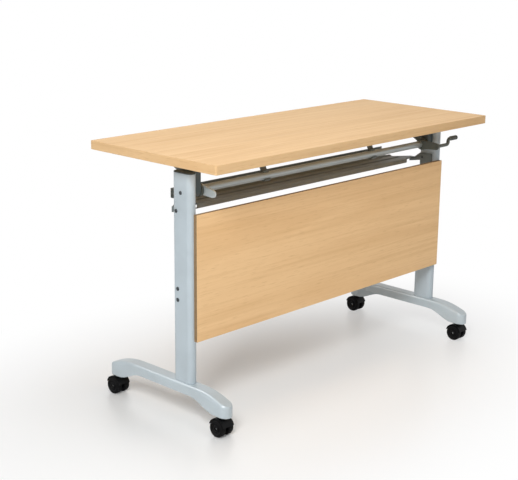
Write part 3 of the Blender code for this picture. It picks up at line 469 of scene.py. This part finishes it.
def makeColumn(side, sign):
    low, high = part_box("column_" + side)
    tube = boxShape(low, high)
    roundEdges(tube, edgesAlong(tube, 2), columnTube["corner"], columnTube["cornerSteps"])
    openThrough(tube, columnTube["wall"])
    inner, outer = (low.x, high.x) if sign > 0 else (high.x, low.x)
    past = sign * columnTube["wall"] * 2
    inside, outside = (inner - past, inner + past), (outer - past, outer + past)
    through = (inner - past, outer + past)
    pegSpot = (axisY - columnTube["pegForward"], axisZ - columnTube["pegDrop"])
    holes = [(spot, columnTube["boltHole"], through) for spot in panelBoltSpots(side)]
    holes += [(nodeSpot("shelf_bolt_" + side), columnTube["boltHole"], through),
              ((axisY, axisZ), columnTube["barHole"], inside),
              ((axisY, axisZ), columnTube["endHole"], outside),
              (nodeSpot("lock_pin_" + side), columnTube["pinHole"], inside),
              (pegSpot, columnTube["boltHole"], inside)]
    for spot, radius, ends in holes:
        rod = rodShape(radius, min(ends), max(ends), columnTube["holeSteps"])
        rod.transform(alongX @ Matrix.Translation((*spot, 0.0)))
        tube = shaped(tube, "DIFFERENCE", rod)
    standIn("column_" + side, tube, "tube")


for columnSide, columnSign in sides.items():
    makeColumn(columnSide, columnSign)
print("columns made")


# plates, blocks and brackets keep the node's form, with broken edges
brokenEdges = {"column_cap": 0.0009, "head_block": 0.0012, "flip_bracket": 0.0007, "hanger": 0.0006,
               "release_lever": 0.0012, "panel_bracket": 0.0006, "shelf_arm": 0.0005}
ownFinish = {"release_lever_left": "left_lever_painted_light"}  # painted light: the left lever gets a paler finish than its slot's, for light the top keeps off it


def makePlates():
    for kind, width in brokenEdges.items():
        for side in sides:
            node = kind + "_" + side
            standIn(node, softened(node, width), "plate", ownFinish.get(node))


makePlates()
print("brackets and blocks made")


crossBar = {"radius": 0.0105, "journal": 0.005, "chamfer": 0.0006, "steps": 56,
            "proud": 0.0015, "wall": 0.0023}  # journal outside the column, and in its wall
handle = {"radius": 0.0055, "bend": 0.0085, "steps": 20, "bendSteps": 10,
          "gripRadius": 0.0072, "gripRound": 0.003, "gripSetback": 0.012, "gripSteps": 40, "roundSteps": 5,
          "grooves": 5, "groove": 0.0006}


def makeBar():
    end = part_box("cross_bar")[1].x
    shoulder = end - crossBar["proud"] - crossBar["wall"]
    slope = crossBar["chamfer"]
    half = [(0.0, end), (crossBar["journal"] - slope, end), (crossBar["journal"], end - slope),
            (crossBar["journal"], shoulder), (crossBar["radius"] - slope, shoulder),
            (crossBar["radius"], shoulder - slope)]
    bar = turnedShape(half + [(radius, -height) for radius, height in reversed(half)], crossBar["steps"])
    bar.transform(alongX @ Matrix.Translation((axisY, axisZ, 0.0)))
    for face in bar.faces:
        face.material_index = 1 if abs(face.calc_center_median().x) > shoulder else 0  # blackened journals
    standIn("cross_bar", bar, "turned").data.materials.append(finishes["dark_bolt"])


def makeRod():
    low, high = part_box("handle_rod")
    radius, bend = handle["radius"], handle["bend"]
    y = (low.y + high.y) / 2
    start, stop = low.x, high.x
    bottom, top = low.z + radius, high.z - radius
    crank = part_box("handle_grip")[0].x - handle["gripSetback"]
    bm = bmesh.new()
    place = Matrix.Translation((start, y, bottom)) @ alongX
    bmesh.ops.create_circle(bm, cap_ends=True, segments=handle["steps"], radius=radius, matrix=place)
    rim = list(bm.edges)

    def straight(edges, offset):
        grown = bmesh.ops.extrude_edge_only(bm, edges=edges)["geom"]
        dots = [item for item in grown if isinstance(item, bmesh.types.BMVert)]
        bmesh.ops.translate(bm, verts=dots, vec=offset)
        lines = [item for item in grown if isinstance(item, bmesh.types.BMEdge)]
        return [line for line in lines if all(dot in dots for dot in line.verts)]

    def turn(edges, centre, way):
        last = bmesh.ops.spin(bm, geom=edges, cent=centre, axis=(0, way, 0), angle=math.pi / 2,
                              steps=handle["bendSteps"])["geom_last"]
        return [item for item in last if isinstance(item, bmesh.types.BMEdge)]

    rim = straight(rim, (crank - bend - start, 0, 0))
    rim = turn(rim, (crank - bend, y, bottom + bend), -1)
    rim = straight(rim, (0, 0, top - bottom - 2 * bend))
    rim = turn(rim, (crank + bend, y, top - bend), 1)
    rim = straight(rim, (stop - crank - bend, 0, 0))
    bmesh.ops.contextual_create(bm, geom=rim)
    bmesh.ops.remove_doubles(bm, verts=bm.verts, dist=tiny)
    bmesh.ops.recalc_face_normals(bm, faces=bm.faces)
    standIn("handle_rod", bm, "bent")


def makeGrip():
    low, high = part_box("handle_grip")
    rodLow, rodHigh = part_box("handle_rod")
    y, z = (rodLow.y + rodHigh.y) / 2, rodHigh.z - handle["radius"]
    outer, edge, groove = handle["gripRadius"], handle["gripRound"], handle["groove"]
    bore = handle["radius"] + fitGap
    profile = [(0.0, high.x)]
    for step in range(handle["roundSteps"] + 1):
        angle = math.radians(90 - 90 * step / handle["roundSteps"])
        profile.append((outer - edge + edge * math.cos(angle), high.x - edge + edge * math.sin(angle)))
    pitch = (high.x - low.x - 2 * edge) / handle["grooves"]
    for step in range(handle["grooves"]):
        middle = high.x - edge - pitch * (step + 0.5)
        profile += [(outer, middle + 2 * groove), (outer - groove, middle + groove),
                    (outer - groove, middle - groove), (outer, middle - 2 * groove)]
    profile += [(outer, low.x + groove), (outer - groove, low.x), (bore, low.x),
                (bore, high.x - edge), (0.0, high.x - edge)]
    grip = turnedShape(profile, handle["gripSteps"])
    grip.transform(alongX @ Matrix.Translation((y, z, 0.0)))
    standIn("handle_grip", grip, "moulded")


makeBar()
makeRod()
makeGrip()
print("bar and handle made")


shelfSheet = {"sheet": 0.0015, "hem": 0.012, "hemReturn": 0.008, "lip": 0.0275, "ribs": 2, "ribWidth": 0.014,
              "ribSlope": 0.003, "ribHeight": 0.003, "bend": 0.0016, "bendSteps": 4}


def makeShelf():
    low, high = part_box("book_shelf")
    top = high.z - shelfSheet["lip"]
    front, back = low.y, high.y - shelfSheet["sheet"]
    hem = top - shelfSheet["hem"]
    line = [(front + shelfSheet["hemReturn"], hem), (front, hem), (front, top)]
    pitch = (back - front) / (shelfSheet["ribs"] + 1)
    half, slope = shelfSheet["ribWidth"] / 2, shelfSheet["ribSlope"]
    for rib in range(1, shelfSheet["ribs"] + 1):
        middle = front + rib * pitch
        crest = top + shelfSheet["ribHeight"]
        line += [(middle - half, top), (middle - half + slope, crest),
                 (middle + half - slope, crest), (middle + half, top)]
    line += [(back, top), (back, high.z)]
    bm = bmesh.new()
    dots = [bm.verts.new((low.x, y, z)) for y, z in line]
    edges = [bm.edges.new(pair) for pair in zip(dots, dots[1:])]
    grown = bmesh.ops.extrude_edge_only(bm, edges=edges)["geom"]
    far = [item for item in grown if isinstance(item, bmesh.types.BMVert)]
    bmesh.ops.translate(bm, verts=far, vec=(high.x - low.x, 0, 0))
    folds = [edge for edge in bm.edges if len(edge.link_faces) == 2]
    roundEdges(bm, folds, shelfSheet["bend"], shelfSheet["bendSteps"])
    bmesh.ops.recalc_face_normals(bm, faces=bm.faces)
    widest = max(bm.faces, key=lambda face: face.calc_area())
    if widest.normal.z < 0:
        bmesh.ops.reverse_faces(bm, faces=bm.faces)
    for face in bm.faces:
        atFront = face.calc_center_median().y < front + shelfSheet["bend"]
        face.material_index = 1 if atFront else 0  # painted light: the hem is paler, for light it catches at the front
    piece = standIn("book_shelf", bm, "folded")
    piece.data.materials.append(finishes["shelf_hem_painted_light"])
    thick = piece.modifiers.new("sheet", "SOLIDIFY")
    thick.thickness = shelfSheet["sheet"]
    thick.offset = -1.0
    thick.use_even_offset = True
    piece.modifiers.move(1, 0)


makeShelf()
print("shelf made")


footCasting = {"length": 0.482, "width": 0.043, "depth": 0.030, "droop": 0.0265, "flat": 0.130, "smooth": 50,
               "arch": 0.0287, "archStart": 0.104, "archStop": 0.199,
               "topRound": 0.008, "topSteps": 6, "baseRound": 0.003, "baseSteps": 3,
               "slices": 30, "tipSlices": 12, "tipAngle": 80.0,
               "sink": 0.0071, "sinkDepth": 0.008, "sinkSteps": 32}  # for the head of the foot's bolt


def footLevels(y, crown):
    # half width, underside and upper face of a foot at a distance from its middle
    half, wide = footCasting["length"] / 2, footCasting["width"] / 2
    past = (abs(y) - (half - wide)) / wide
    halfWidth = wide * math.sqrt(max(1 - past * past, 0.0)) if past > 0 else wide
    run = (abs(y) - footCasting["archStart"]) / (footCasting["archStop"] - footCasting["archStart"])
    run = min(max(run, 0.0), 1.0)
    base = crown - footCasting["depth"] - footCasting["arch"] * run * run * (3 - 2 * run)
    fall = max(abs(y) - footCasting["flat"], 0.0) / (half - footCasting["flat"])
    return halfWidth, base, crown - footCasting["droop"] * fall * fall


def makeFoot(side):
    low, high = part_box("foot_" + side)
    wide, depth = footCasting["width"] / 2, footCasting["depth"]
    half = footCasting["length"] / 2
    tip = half - wide + wide * math.sin(math.radians(footCasting["tipAngle"]))
    bm = boxShape((-wide, -tip, 0.0), (wide, tip, depth))
    lengthwise = edgesAlong(bm, 1)
    upper = [edge for edge in lengthwise if edge.verts[0].co.z > depth / 2]
    lower = [edge for edge in lengthwise if edge.verts[0].co.z < depth / 2]
    roundEdges(bm, upper, footCasting["topRound"], footCasting["topSteps"])
    roundEdges(bm, lower, footCasting["baseRound"], footCasting["baseSteps"])
    slices = footCasting["slices"]
    places = [(half - wide) * (2 * step / slices - 1) for step in range(slices + 1)]
    for step in range(1, footCasting["tipSlices"]):
        angle = math.radians(footCasting["tipAngle"] * step / footCasting["tipSlices"])
        places += [half - wide + wide * math.sin(angle), -(half - wide + wide * math.sin(angle))]
    for y in places:
        everything = list(bm.verts) + list(bm.edges) + list(bm.faces)
        bmesh.ops.bisect_plane(bm, geom=everything, plane_co=(0, y, 0), plane_no=(0, 1, 0))
    middle, centreY = (low.x + high.x) / 2, (low.y + high.y) / 2
    for dot in bm.verts:
        halfWidth, base, top = footLevels(dot.co.y, high.z)
        dot.co.z = base + (top - base) * dot.co.z / depth
        dot.co.x = middle + halfWidth * dot.co.x / wide
        dot.co.y += centreY
    bmesh.ops.recalc_face_normals(bm, faces=bm.faces)
    drill = rodShape(footCasting["sink"], high.z - 2 * depth, high.z - depth + footCasting["sinkDepth"],
                     footCasting["sinkSteps"])
    drill.transform(Matrix.Translation((middle, axisY, 0.0)))
    standIn("foot_" + side, shaped(bm, "DIFFERENCE", drill), "cast", smooth=footCasting["smooth"])


for footSide in sides:
    makeFoot(footSide)
print("feet made")


caster = {"radius": 0.025, "width": 0.0165, "web": 0.012, "edge": 0.005, "edgeBow": 0.3, "dish": 0.003,
          "rim": 0.0175, "groove": 0.0016, "grooveDepth": 0.0006, "grooveSlope": 0.0004,
          "boss": 0.009, "bossLean": 0.001, "bossRound": 0.0008, "bossFall": 0.0005,
          "bore": 0.0044, "axle": 0.004, "axleChamfer": 0.0008, "trail": 0.008,
          "hoodIn": 0.0268, "hoodOut": 0.0288, "hoodLow": 15.0, "hoodSteps": 48, "soft": 0.0006,
          "softSteps": 2, "webInset": 0.001, "hub": 0.011, "stemBoss": 0.0085, "bossRise": 0.002,
          "stemHole": 0.0041, "holeDepth": 0.015, "holeSteps": 28, "bossSteps": 40, "axleSteps": 32,
          "steps": 72}


def casterPlace(name):
    # from the caster's own frame, with its axle along X and its trail along Y
    swivel = Vector(joints["swivel_" + name]["pos_m"])
    axle = Vector(joints["roll_a_" + name]["pos_m"])
    turn = math.atan2(swivel.x - axle.x, axle.y - swivel.y)
    return Matrix.Translation((swivel.x, swivel.y, 0.0)) @ Matrix.Rotation(turn, 4, "Z")


def onAxle():
    return Matrix.Translation((0, caster["trail"], caster["radius"])) @ alongX


def wheelShape(sign):
    inner = caster["web"] / 2 + fitGap
    outer = inner + caster["width"]
    radius, edge, rim, boss = (caster[key] for key in ("radius", "edge", "rim", "boss"))
    bow = edge * caster["edgeBow"]
    dish, floor, slope = outer - caster["dish"], outer - caster["grooveDepth"], caster["grooveSlope"]
    near, far = rim + slope, rim + slope + caster["groove"]  # a fine groove in the face
    profile = [(caster["bore"], inner), (radius - edge / 2, inner), (radius, inner + edge / 2),
               (radius, outer - edge), (radius - bow, outer - bow), (radius - edge, outer),
               (far, outer), (far - slope, floor), (near + slope, floor), (near, outer),
               (rim, outer), (rim - caster["dish"], dish), (boss + caster["bossLean"], dish),
               (boss, outer - caster["bossFall"]), (boss - caster["bossRound"], outer),
               (caster["bore"], outer)]
    wheel = turnedShape([(reach, sign * height) for reach, height in profile], caster["steps"], True)
    wheel.transform(onAxle())
    return wheel


def hoodShape():
    low, steps = caster["hoodLow"], caster["hoodSteps"]
    half = caster["web"] / 2 + fitGap + caster["width"] - caster["edge"] / 2
    centre = (0.0, 0.0)
    cover = plateShape(-half, half, (centre, caster["hoodOut"], low, 180 - low, steps),
                       (centre, caster["hoodIn"], 180 - low, low, steps))
    rims = [edge for edge in sharpEdges(cover)
            if all(abs(abs(dot.co.z) - half) < tiny for dot in edge.verts)]
    roundEdges(cover, rims, caster["soft"], caster["softSteps"])
    web = plateShape(-caster["web"] / 2, caster["web"] / 2,
                     (centre, caster["hoodOut"] - caster["webInset"], low, 180 - low, steps),
                     (centre, caster["hub"], 180, 360, steps // 2))
    hood = shaped(cover, "UNION", web)
    hood.transform(onAxle())
    top = caster["radius"] + caster["hoodOut"] + caster["bossRise"]
    start = caster["radius"] + math.sqrt(caster["hoodIn"] ** 2 - caster["trail"] ** 2)
    hood = shaped(hood, "UNION", rodShape(caster["stemBoss"], start, top, caster["bossSteps"]))
    depth = caster["holeDepth"]
    hole = rodShape(caster["stemHole"], top - depth, top + depth, caster["holeSteps"])
    hood = shaped(hood, "DIFFERENCE", hole)
    bore = rodShape(caster["bore"], -caster["web"], caster["web"], caster["holeSteps"])
    bore.transform(onAxle())
    return shaped(hood, "DIFFERENCE", bore)


def axleShape():
    end = caster["web"] / 2 + fitGap + caster["width"] - caster["dish"]
    radius, slope = caster["axle"], caster["axleChamfer"]
    half = [(0.0, end), (radius - slope, end), (radius, end - slope)]
    both = half + [(reach, -height) for reach, height in reversed(half)]
    axle = turnedShape(both, caster["axleSteps"])
    axle.transform(onAxle())
    return axle


stem = {"radius": 0.0055, "journal": 0.0038, "collar": 0.0080, "collarThick": 0.0024, "chamfer": 0.0004,
        "steps": 36}


def stemShape(low, high):
    collarLow = low + caster["holeDepth"]
    collarHigh = collarLow + stem["collarThick"]
    slope = stem["chamfer"]
    radius, collar, journal = stem["radius"], stem["collar"], stem["journal"]
    profile = [(0, high), (radius - slope, high), (radius, high - slope), (radius, collarHigh),
               (collar - slope, collarHigh), (collar, collarHigh - slope), (collar, collarLow + slope),
               (collar - slope, collarLow), (journal, collarLow), (journal, low), (0, low)]
    return turnedShape(profile, stem["steps"])


def makeCasters():
    stemLow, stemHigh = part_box("caster_stem_" + casterNames[0])
    masters = {"wheel_a_": wheelShape(-1), "wheel_b_": wheelShape(1), "caster_hood_": hoodShape(),
               "caster_axle_": axleShape(), "caster_stem_": stemShape(stemLow.z, stemHigh.z)}
    for name in casterNames:
        for kind, bm in masters.items():
            standIn(kind + name, moved(bm, casterPlace(name)), "fine")
    for bm in masters.values():
        bm.free()


makeCasters()
print("casters made")


# small fasteners, each made once with its head up and its seat at the origin
headForm = {"rim": 0.3, "domeSteps": 6, "steps": 32}  # rim as a share of the head's height
button = {"radius": 0.0055, "height": 0.0028, "shank": 0.003, "socket": 0.0018, "socketDepth": 0.0016}
panHead = {"radius": 0.0042, "height": 0.0022, "shank": 0.0018,
           "slot": 0.0009, "slotLength": 0.0048, "slotDepth": 0.0012}
nut = {"flats": 0.0055, "height": 0.0045, "bore": 0.0031, "boreSteps": 24, "chamfer": 0.0005}
hexSides = 6


def domeHead(sizes, length):
    profile = [(0.0, sizes["height"])]
    for step in range(1, headForm["domeSteps"] + 1):
        angle = math.radians(90 * step / headForm["domeSteps"])
        rise = headForm["rim"] + (1 - headForm["rim"]) * math.cos(angle)
        profile.append((sizes["radius"] * math.sin(angle), sizes["height"] * rise))
    profile += [(sizes["radius"], 0.0), (sizes["shank"], 0.0), (sizes["shank"], -length), (0.0, -length)]
    return turnedShape(profile, headForm["steps"])


def buttonBolt(length):
    bm = domeHead(button, length)
    floor, roof = button["height"] - button["socketDepth"], button["height"] * 2
    return shaped(bm, "DIFFERENCE", rodShape(button["socket"], floor, roof, hexSides))


def woodScrew(length):
    bm = domeHead(panHead, length)
    reach, half = panHead["slotLength"] / 2, panHead["slot"] / 2
    floor, roof = panHead["height"] - panHead["slotDepth"], panHead["height"] * 2
    for across, along in ((reach, half), (half, reach)):
        bm = shaped(bm, "DIFFERENCE", boxShape((-across, -along, floor), (across, along, roof)))
    return bm


def hexNut():
    bm = rodShape(nut["flats"] / math.cos(math.pi / hexSides), 0.0, nut["height"], hexSides)
    upper = [edge for edge in bm.edges if all(dot.co.z > nut["height"] / 2 for dot in edge.verts)]
    roundEdges(bm, upper, nut["chamfer"], 1)
    bore = rodShape(nut["bore"], -nut["height"], 2 * nut["height"], nut["boreSteps"])
    return shaped(bm, "DIFFERENCE", bore)


def facing(spot, direction):
    turn = Vector((0, 0, 1)).rotation_difference(Vector(direction)).to_matrix().to_4x4()
    return Matrix.Translation(spot) @ turn


def makeBolts():
    for side, sign in sides.items():
        low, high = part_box("column_" + side)
        outer = high.x if sign > 0 else low.x
        armLow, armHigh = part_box("panel_bracket_" + side)
        inner = (armHigh.x if sign > 0 else armLow.x) - sign * panelBolts["plate"]
        length = abs(outer - inner) + panelBolts["past"]
        master, ring = buttonBolt(length), hexNut()
        headSeat, nutSeat = outer + sign * fitGap, inner - sign * fitGap
        for index, (y, z) in enumerate(panelBoltSpots(side)):
            bolt = moved(master, facing((headSeat, y, z), (sign, 0, 0)))
            newPiece("panel_bolt_%s_%d" % (side, index + 1), bolt, "zinc_steel", "frame", "dark_bolt")
            counter = moved(ring, facing((nutSeat, y, z), (-sign, 0, 0)))
            newPiece("panel_nut_%s_%d" % (side, index + 1), counter, "zinc_steel", "frame")
        master.free()
        ring.free()
        boltLow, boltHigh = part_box("shelf_bolt_" + side)
        bolt = buttonBolt(abs(headSeat - (boltLow.x if sign > 0 else boltHigh.x)))
        bolt.transform(facing((headSeat, *nodeSpot("shelf_bolt_" + side)), (sign, 0, 0)))
        standIn("shelf_bolt_" + side, bolt, "button", "dark_bolt")


screwRows = {"flangeFront": 0.0165, "flangeEdge": 0.014, "flangePitch": 0.018, "flipPlate": 0.007,
             "hangerEdge": 0.011, "hangerHalf": 0.0055, "angleEdge": 0.013, "anglePitch": 0.044,
             "plate": 0.004, "length": 0.012}


def makeScrews():
    master = woodScrew(screwRows["length"])
    under = screwRows["plate"] + fitGap  # from the board to a screw's head
    spots = []
    for side, sign in sides.items():
        low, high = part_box("flip_bracket_" + side)
        plateIn = (high.x if sign > 0 else low.x) - sign * screwRows["flipPlate"]
        front = axisY + screwRows["flangeFront"] + screwRows["flangeEdge"]
        for y in (front, high.y - screwRows["flangeEdge"]):
            for row in range(2):
                x = plateIn - sign * (screwRows["flangeEdge"] + row * screwRows["flangePitch"])
                spots.append(("bracket_screw_" + side, "top", (x, y, high.z - under), (0, 0, -1)))
        low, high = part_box("hanger_" + side)
        for way in (-1, 1):
            x, y = (low.x + high.x) / 2 + way * screwRows["hangerHalf"], high.y - screwRows["hangerEdge"]
            spots.append(("hanger_screw_" + side, "top", (x, y, high.z - under), (0, 0, -1)))
        low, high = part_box("panel_bracket_" + side)
        x = (low.x if sign > 0 else high.x) + sign * screwRows["angleEdge"]
        for way in (-1, 1):
            z = (low.z + high.z) / 2 + way * screwRows["anglePitch"] / 2
            spots.append(("panel_screw_" + side, "frame", (x, low.y + under, z), (0, 1, 0)))
    counts = {}
    for kind, body, spot, direction in spots:
        counts[kind] = counts.get(kind, 0) + 1
        newPiece("%s_%d" % (kind, counts[kind]), moved(master, facing(spot, direction)), "zinc_steel", body)
    master.free()


makeBolts()
makeScrews()
print("fasteners made")


# the nodes that stay get the finish of their slot
for node, part in nodes.items():
    for holder in part.material_slots:
        holder.material = finishes[slotOf[node]]


# camera, floor and light
photoView = {"place": (-2.585, -2.299, 1.321), "azimuth": -46.26, "elevation": 14.92, "roll": 0.58,
             "focalPixels": 1170.2, "imageWidth": 518, "sensor": 36.0}


def makeCamera():
    azimuth, elevation, roll = (math.radians(photoView[key]) for key in ("azimuth", "elevation", "roll"))
    level = math.cos(elevation)
    back = Vector((math.sin(azimuth) * level, -math.cos(azimuth) * level, math.sin(elevation)))
    right = (-back).cross(Vector((0, 0, 1))).normalized()
    up = right.cross(-back)
    across = right * math.cos(roll) + up * math.sin(roll)
    above = up * math.cos(roll) - right * math.sin(roll)
    data = bpy.data.cameras.new("photo_camera")
    data.sensor_width = photoView["sensor"]
    data.lens = photoView["focalPixels"] * photoView["sensor"] / photoView["imageWidth"]
    camera = bpy.data.objects.new("photo_camera", data)
    bpy.context.scene.collection.objects.link(camera)
    turn = Matrix((across, above, back)).transposed().to_4x4()
    camera.matrix_world = Matrix.Translation(photoView["place"]) @ turn
    bpy.context.scene.camera = camera


# the floor turns white outside an oval round the desk; the oval's middle sits left of the desk's, and this
# camera-only white is painted light that also lifts the desk's floor shadow, more towards the right
floorSheet = {"half": 14.0, "colour": (250, 250, 249), "rough": 0.32, "gloss": 0.5,
              "fadeShape": (1.0, 1.65, 0.0), "fadeShift": (0.25, 0.0, 0.0),
              "fadeStart": 0.25, "fadeStop": 1.5}


def raysThatSee(tree):
    # 1 for the rays that show the background, 0 for those that carry its light
    path = tree.nodes.new("ShaderNodeLightPath")
    total = path.outputs["Is Camera Ray"]
    for ray in ("Is Glossy Ray", "Is Transmission Ray"):
        added = tree.nodes.new("ShaderNodeMath")
        added.operation = "ADD"
        added.use_clamp = True
        tree.links.new(total, added.inputs[0])
        tree.links.new(path.outputs[ray], added.inputs[1])
        total = added.outputs["Value"]
    return total


def makeFloor():
    bm = bmesh.new()
    bmesh.ops.create_grid(bm, x_segments=1, y_segments=1, size=floorSheet["half"])
    mesh = bpy.data.meshes.new("studio_floor")
    bm.to_mesh(mesh)
    bm.free()
    tree, shader = startFinish("studio_floor", floorSheet["rough"])
    shader.inputs["Base Color"].default_value = tone(*floorSheet["colour"])
    shader.inputs["Specular IOR Level"].default_value = floorSheet["gloss"]
    spot = addNode(tree, "ShaderNodeTexCoord")
    oval = addNode(tree, "ShaderNodeMapping", Scale=floorSheet["fadeShape"], Location=floorSheet["fadeShift"])
    reach = tree.nodes.new("ShaderNodeVectorMath")
    reach.operation = "LENGTH"
    ends = {"From Min": floorSheet["fadeStart"], "From Max": floorSheet["fadeStop"]}
    fade = addNode(tree, "ShaderNodeMapRange", **ends)
    fade.interpolation_type = "SMOOTHSTEP"
    white = addNode(tree, "ShaderNodeEmission", Strength=1.0)
    share = tree.nodes.new("ShaderNodeMath")
    share.operation = "MULTIPLY"
    blend = tree.nodes.new("ShaderNodeMixShader")
    tree.links.new(spot.outputs["Object"], oval.inputs["Vector"])
    tree.links.new(oval.outputs["Vector"], reach.inputs[0])
    tree.links.new(reach.outputs["Value"], fade.inputs["Value"])
    tree.links.new(fade.outputs["Result"], share.inputs[0])
    tree.links.new(raysThatSee(tree), share.inputs[1])
    tree.links.new(share.outputs["Value"], blend.inputs["Fac"])
    tree.links.new(shader.outputs["BSDF"], blend.inputs[1])
    tree.links.new(white.outputs["Emission"], blend.inputs[2])
    tree.links.new(blend.outputs["Shader"], tree.nodes["Material Output"].inputs["Surface"])
    mesh.materials.append(finishes["studio_floor"])
    floor = bpy.data.objects.new("studio_floor", mesh)
    bpy.context.scene.collection.objects.link(floor)


# a lamp without a glint isn't mirrored in the part or the floor, and one without a glow gives glints alone
lamps = {
    "overhead": {"place": (-0.2, -0.2, 3.0), "aim": (0, 0, 0.5), "size": 1.3, "power": 16.0, "glint": True},
    "front": {"place": (-2.7, -1.75, 2.55), "aim": (0, 0, 0.45), "size": 1.2, "power": 88.0, "glint": True},
    "fill": {"place": (1.4, -2.8, 1.2), "aim": (0.3, 0, 0.5), "size": 1.5, "power": 4.5, "glint": False},
    "side": {"place": (-1.6, 1.6, 2.5), "aim": (-0.5, 0, 0.1), "size": 1.8, "power": 50.0, "glint": True,
             "glow": False},
    "rear": {"place": (2.2, 2.6, 1.9), "aim": (0, 0, 0.45), "size": 1.8, "power": 27.0, "glint": False},
}
skyLight = {"colour": (1.0, 1.0, 1.0, 1.0), "strength": 0.22}


def makeLight():
    for name, lamp in lamps.items():
        data = bpy.data.lights.new(name, "AREA")
        data.size = lamp["size"]
        data.energy = lamp["power"]
        holder = bpy.data.objects.new(name, data)
        bpy.context.scene.collection.objects.link(holder)
        holder.visible_glossy = lamp["glint"]
        holder.visible_diffuse = lamp.get("glow", True)
        way = Vector(lamp["aim"]) - Vector(lamp["place"])
        turn = way.to_track_quat("-Z", "Y").to_matrix().to_4x4()
        holder.matrix_world = Matrix.Translation(lamp["place"]) @ turn
    world = bpy.data.worlds.new("studio")
    world.use_nodes = True
    bpy.context.scene.world = world
    tree = world.node_tree
    ground = tree.nodes["Background"]
    ground.inputs["Color"].default_value = skyLight["colour"]
    ground.inputs["Strength"].default_value = skyLight["strength"]
    white = addNode(tree, "ShaderNodeBackground", Strength=1.0)
    white.inputs["Color"].default_value = skyLight["colour"]
    blend = tree.nodes.new("ShaderNodeMixShader")
    tree.links.new(raysThatSee(tree), blend.inputs["Fac"])
    tree.links.new(ground.outputs["Background"], blend.inputs[1])
    tree.links.new(white.outputs["Background"], blend.inputs[2])
    tree.links.new(blend.outputs["Shader"], tree.nodes["World Output"].inputs["Surface"])


makeCamera()
makeFloor()
makeLight()
bpy.context.scene.view_settings.view_transform = "Standard"
print("camera, floor and light set")
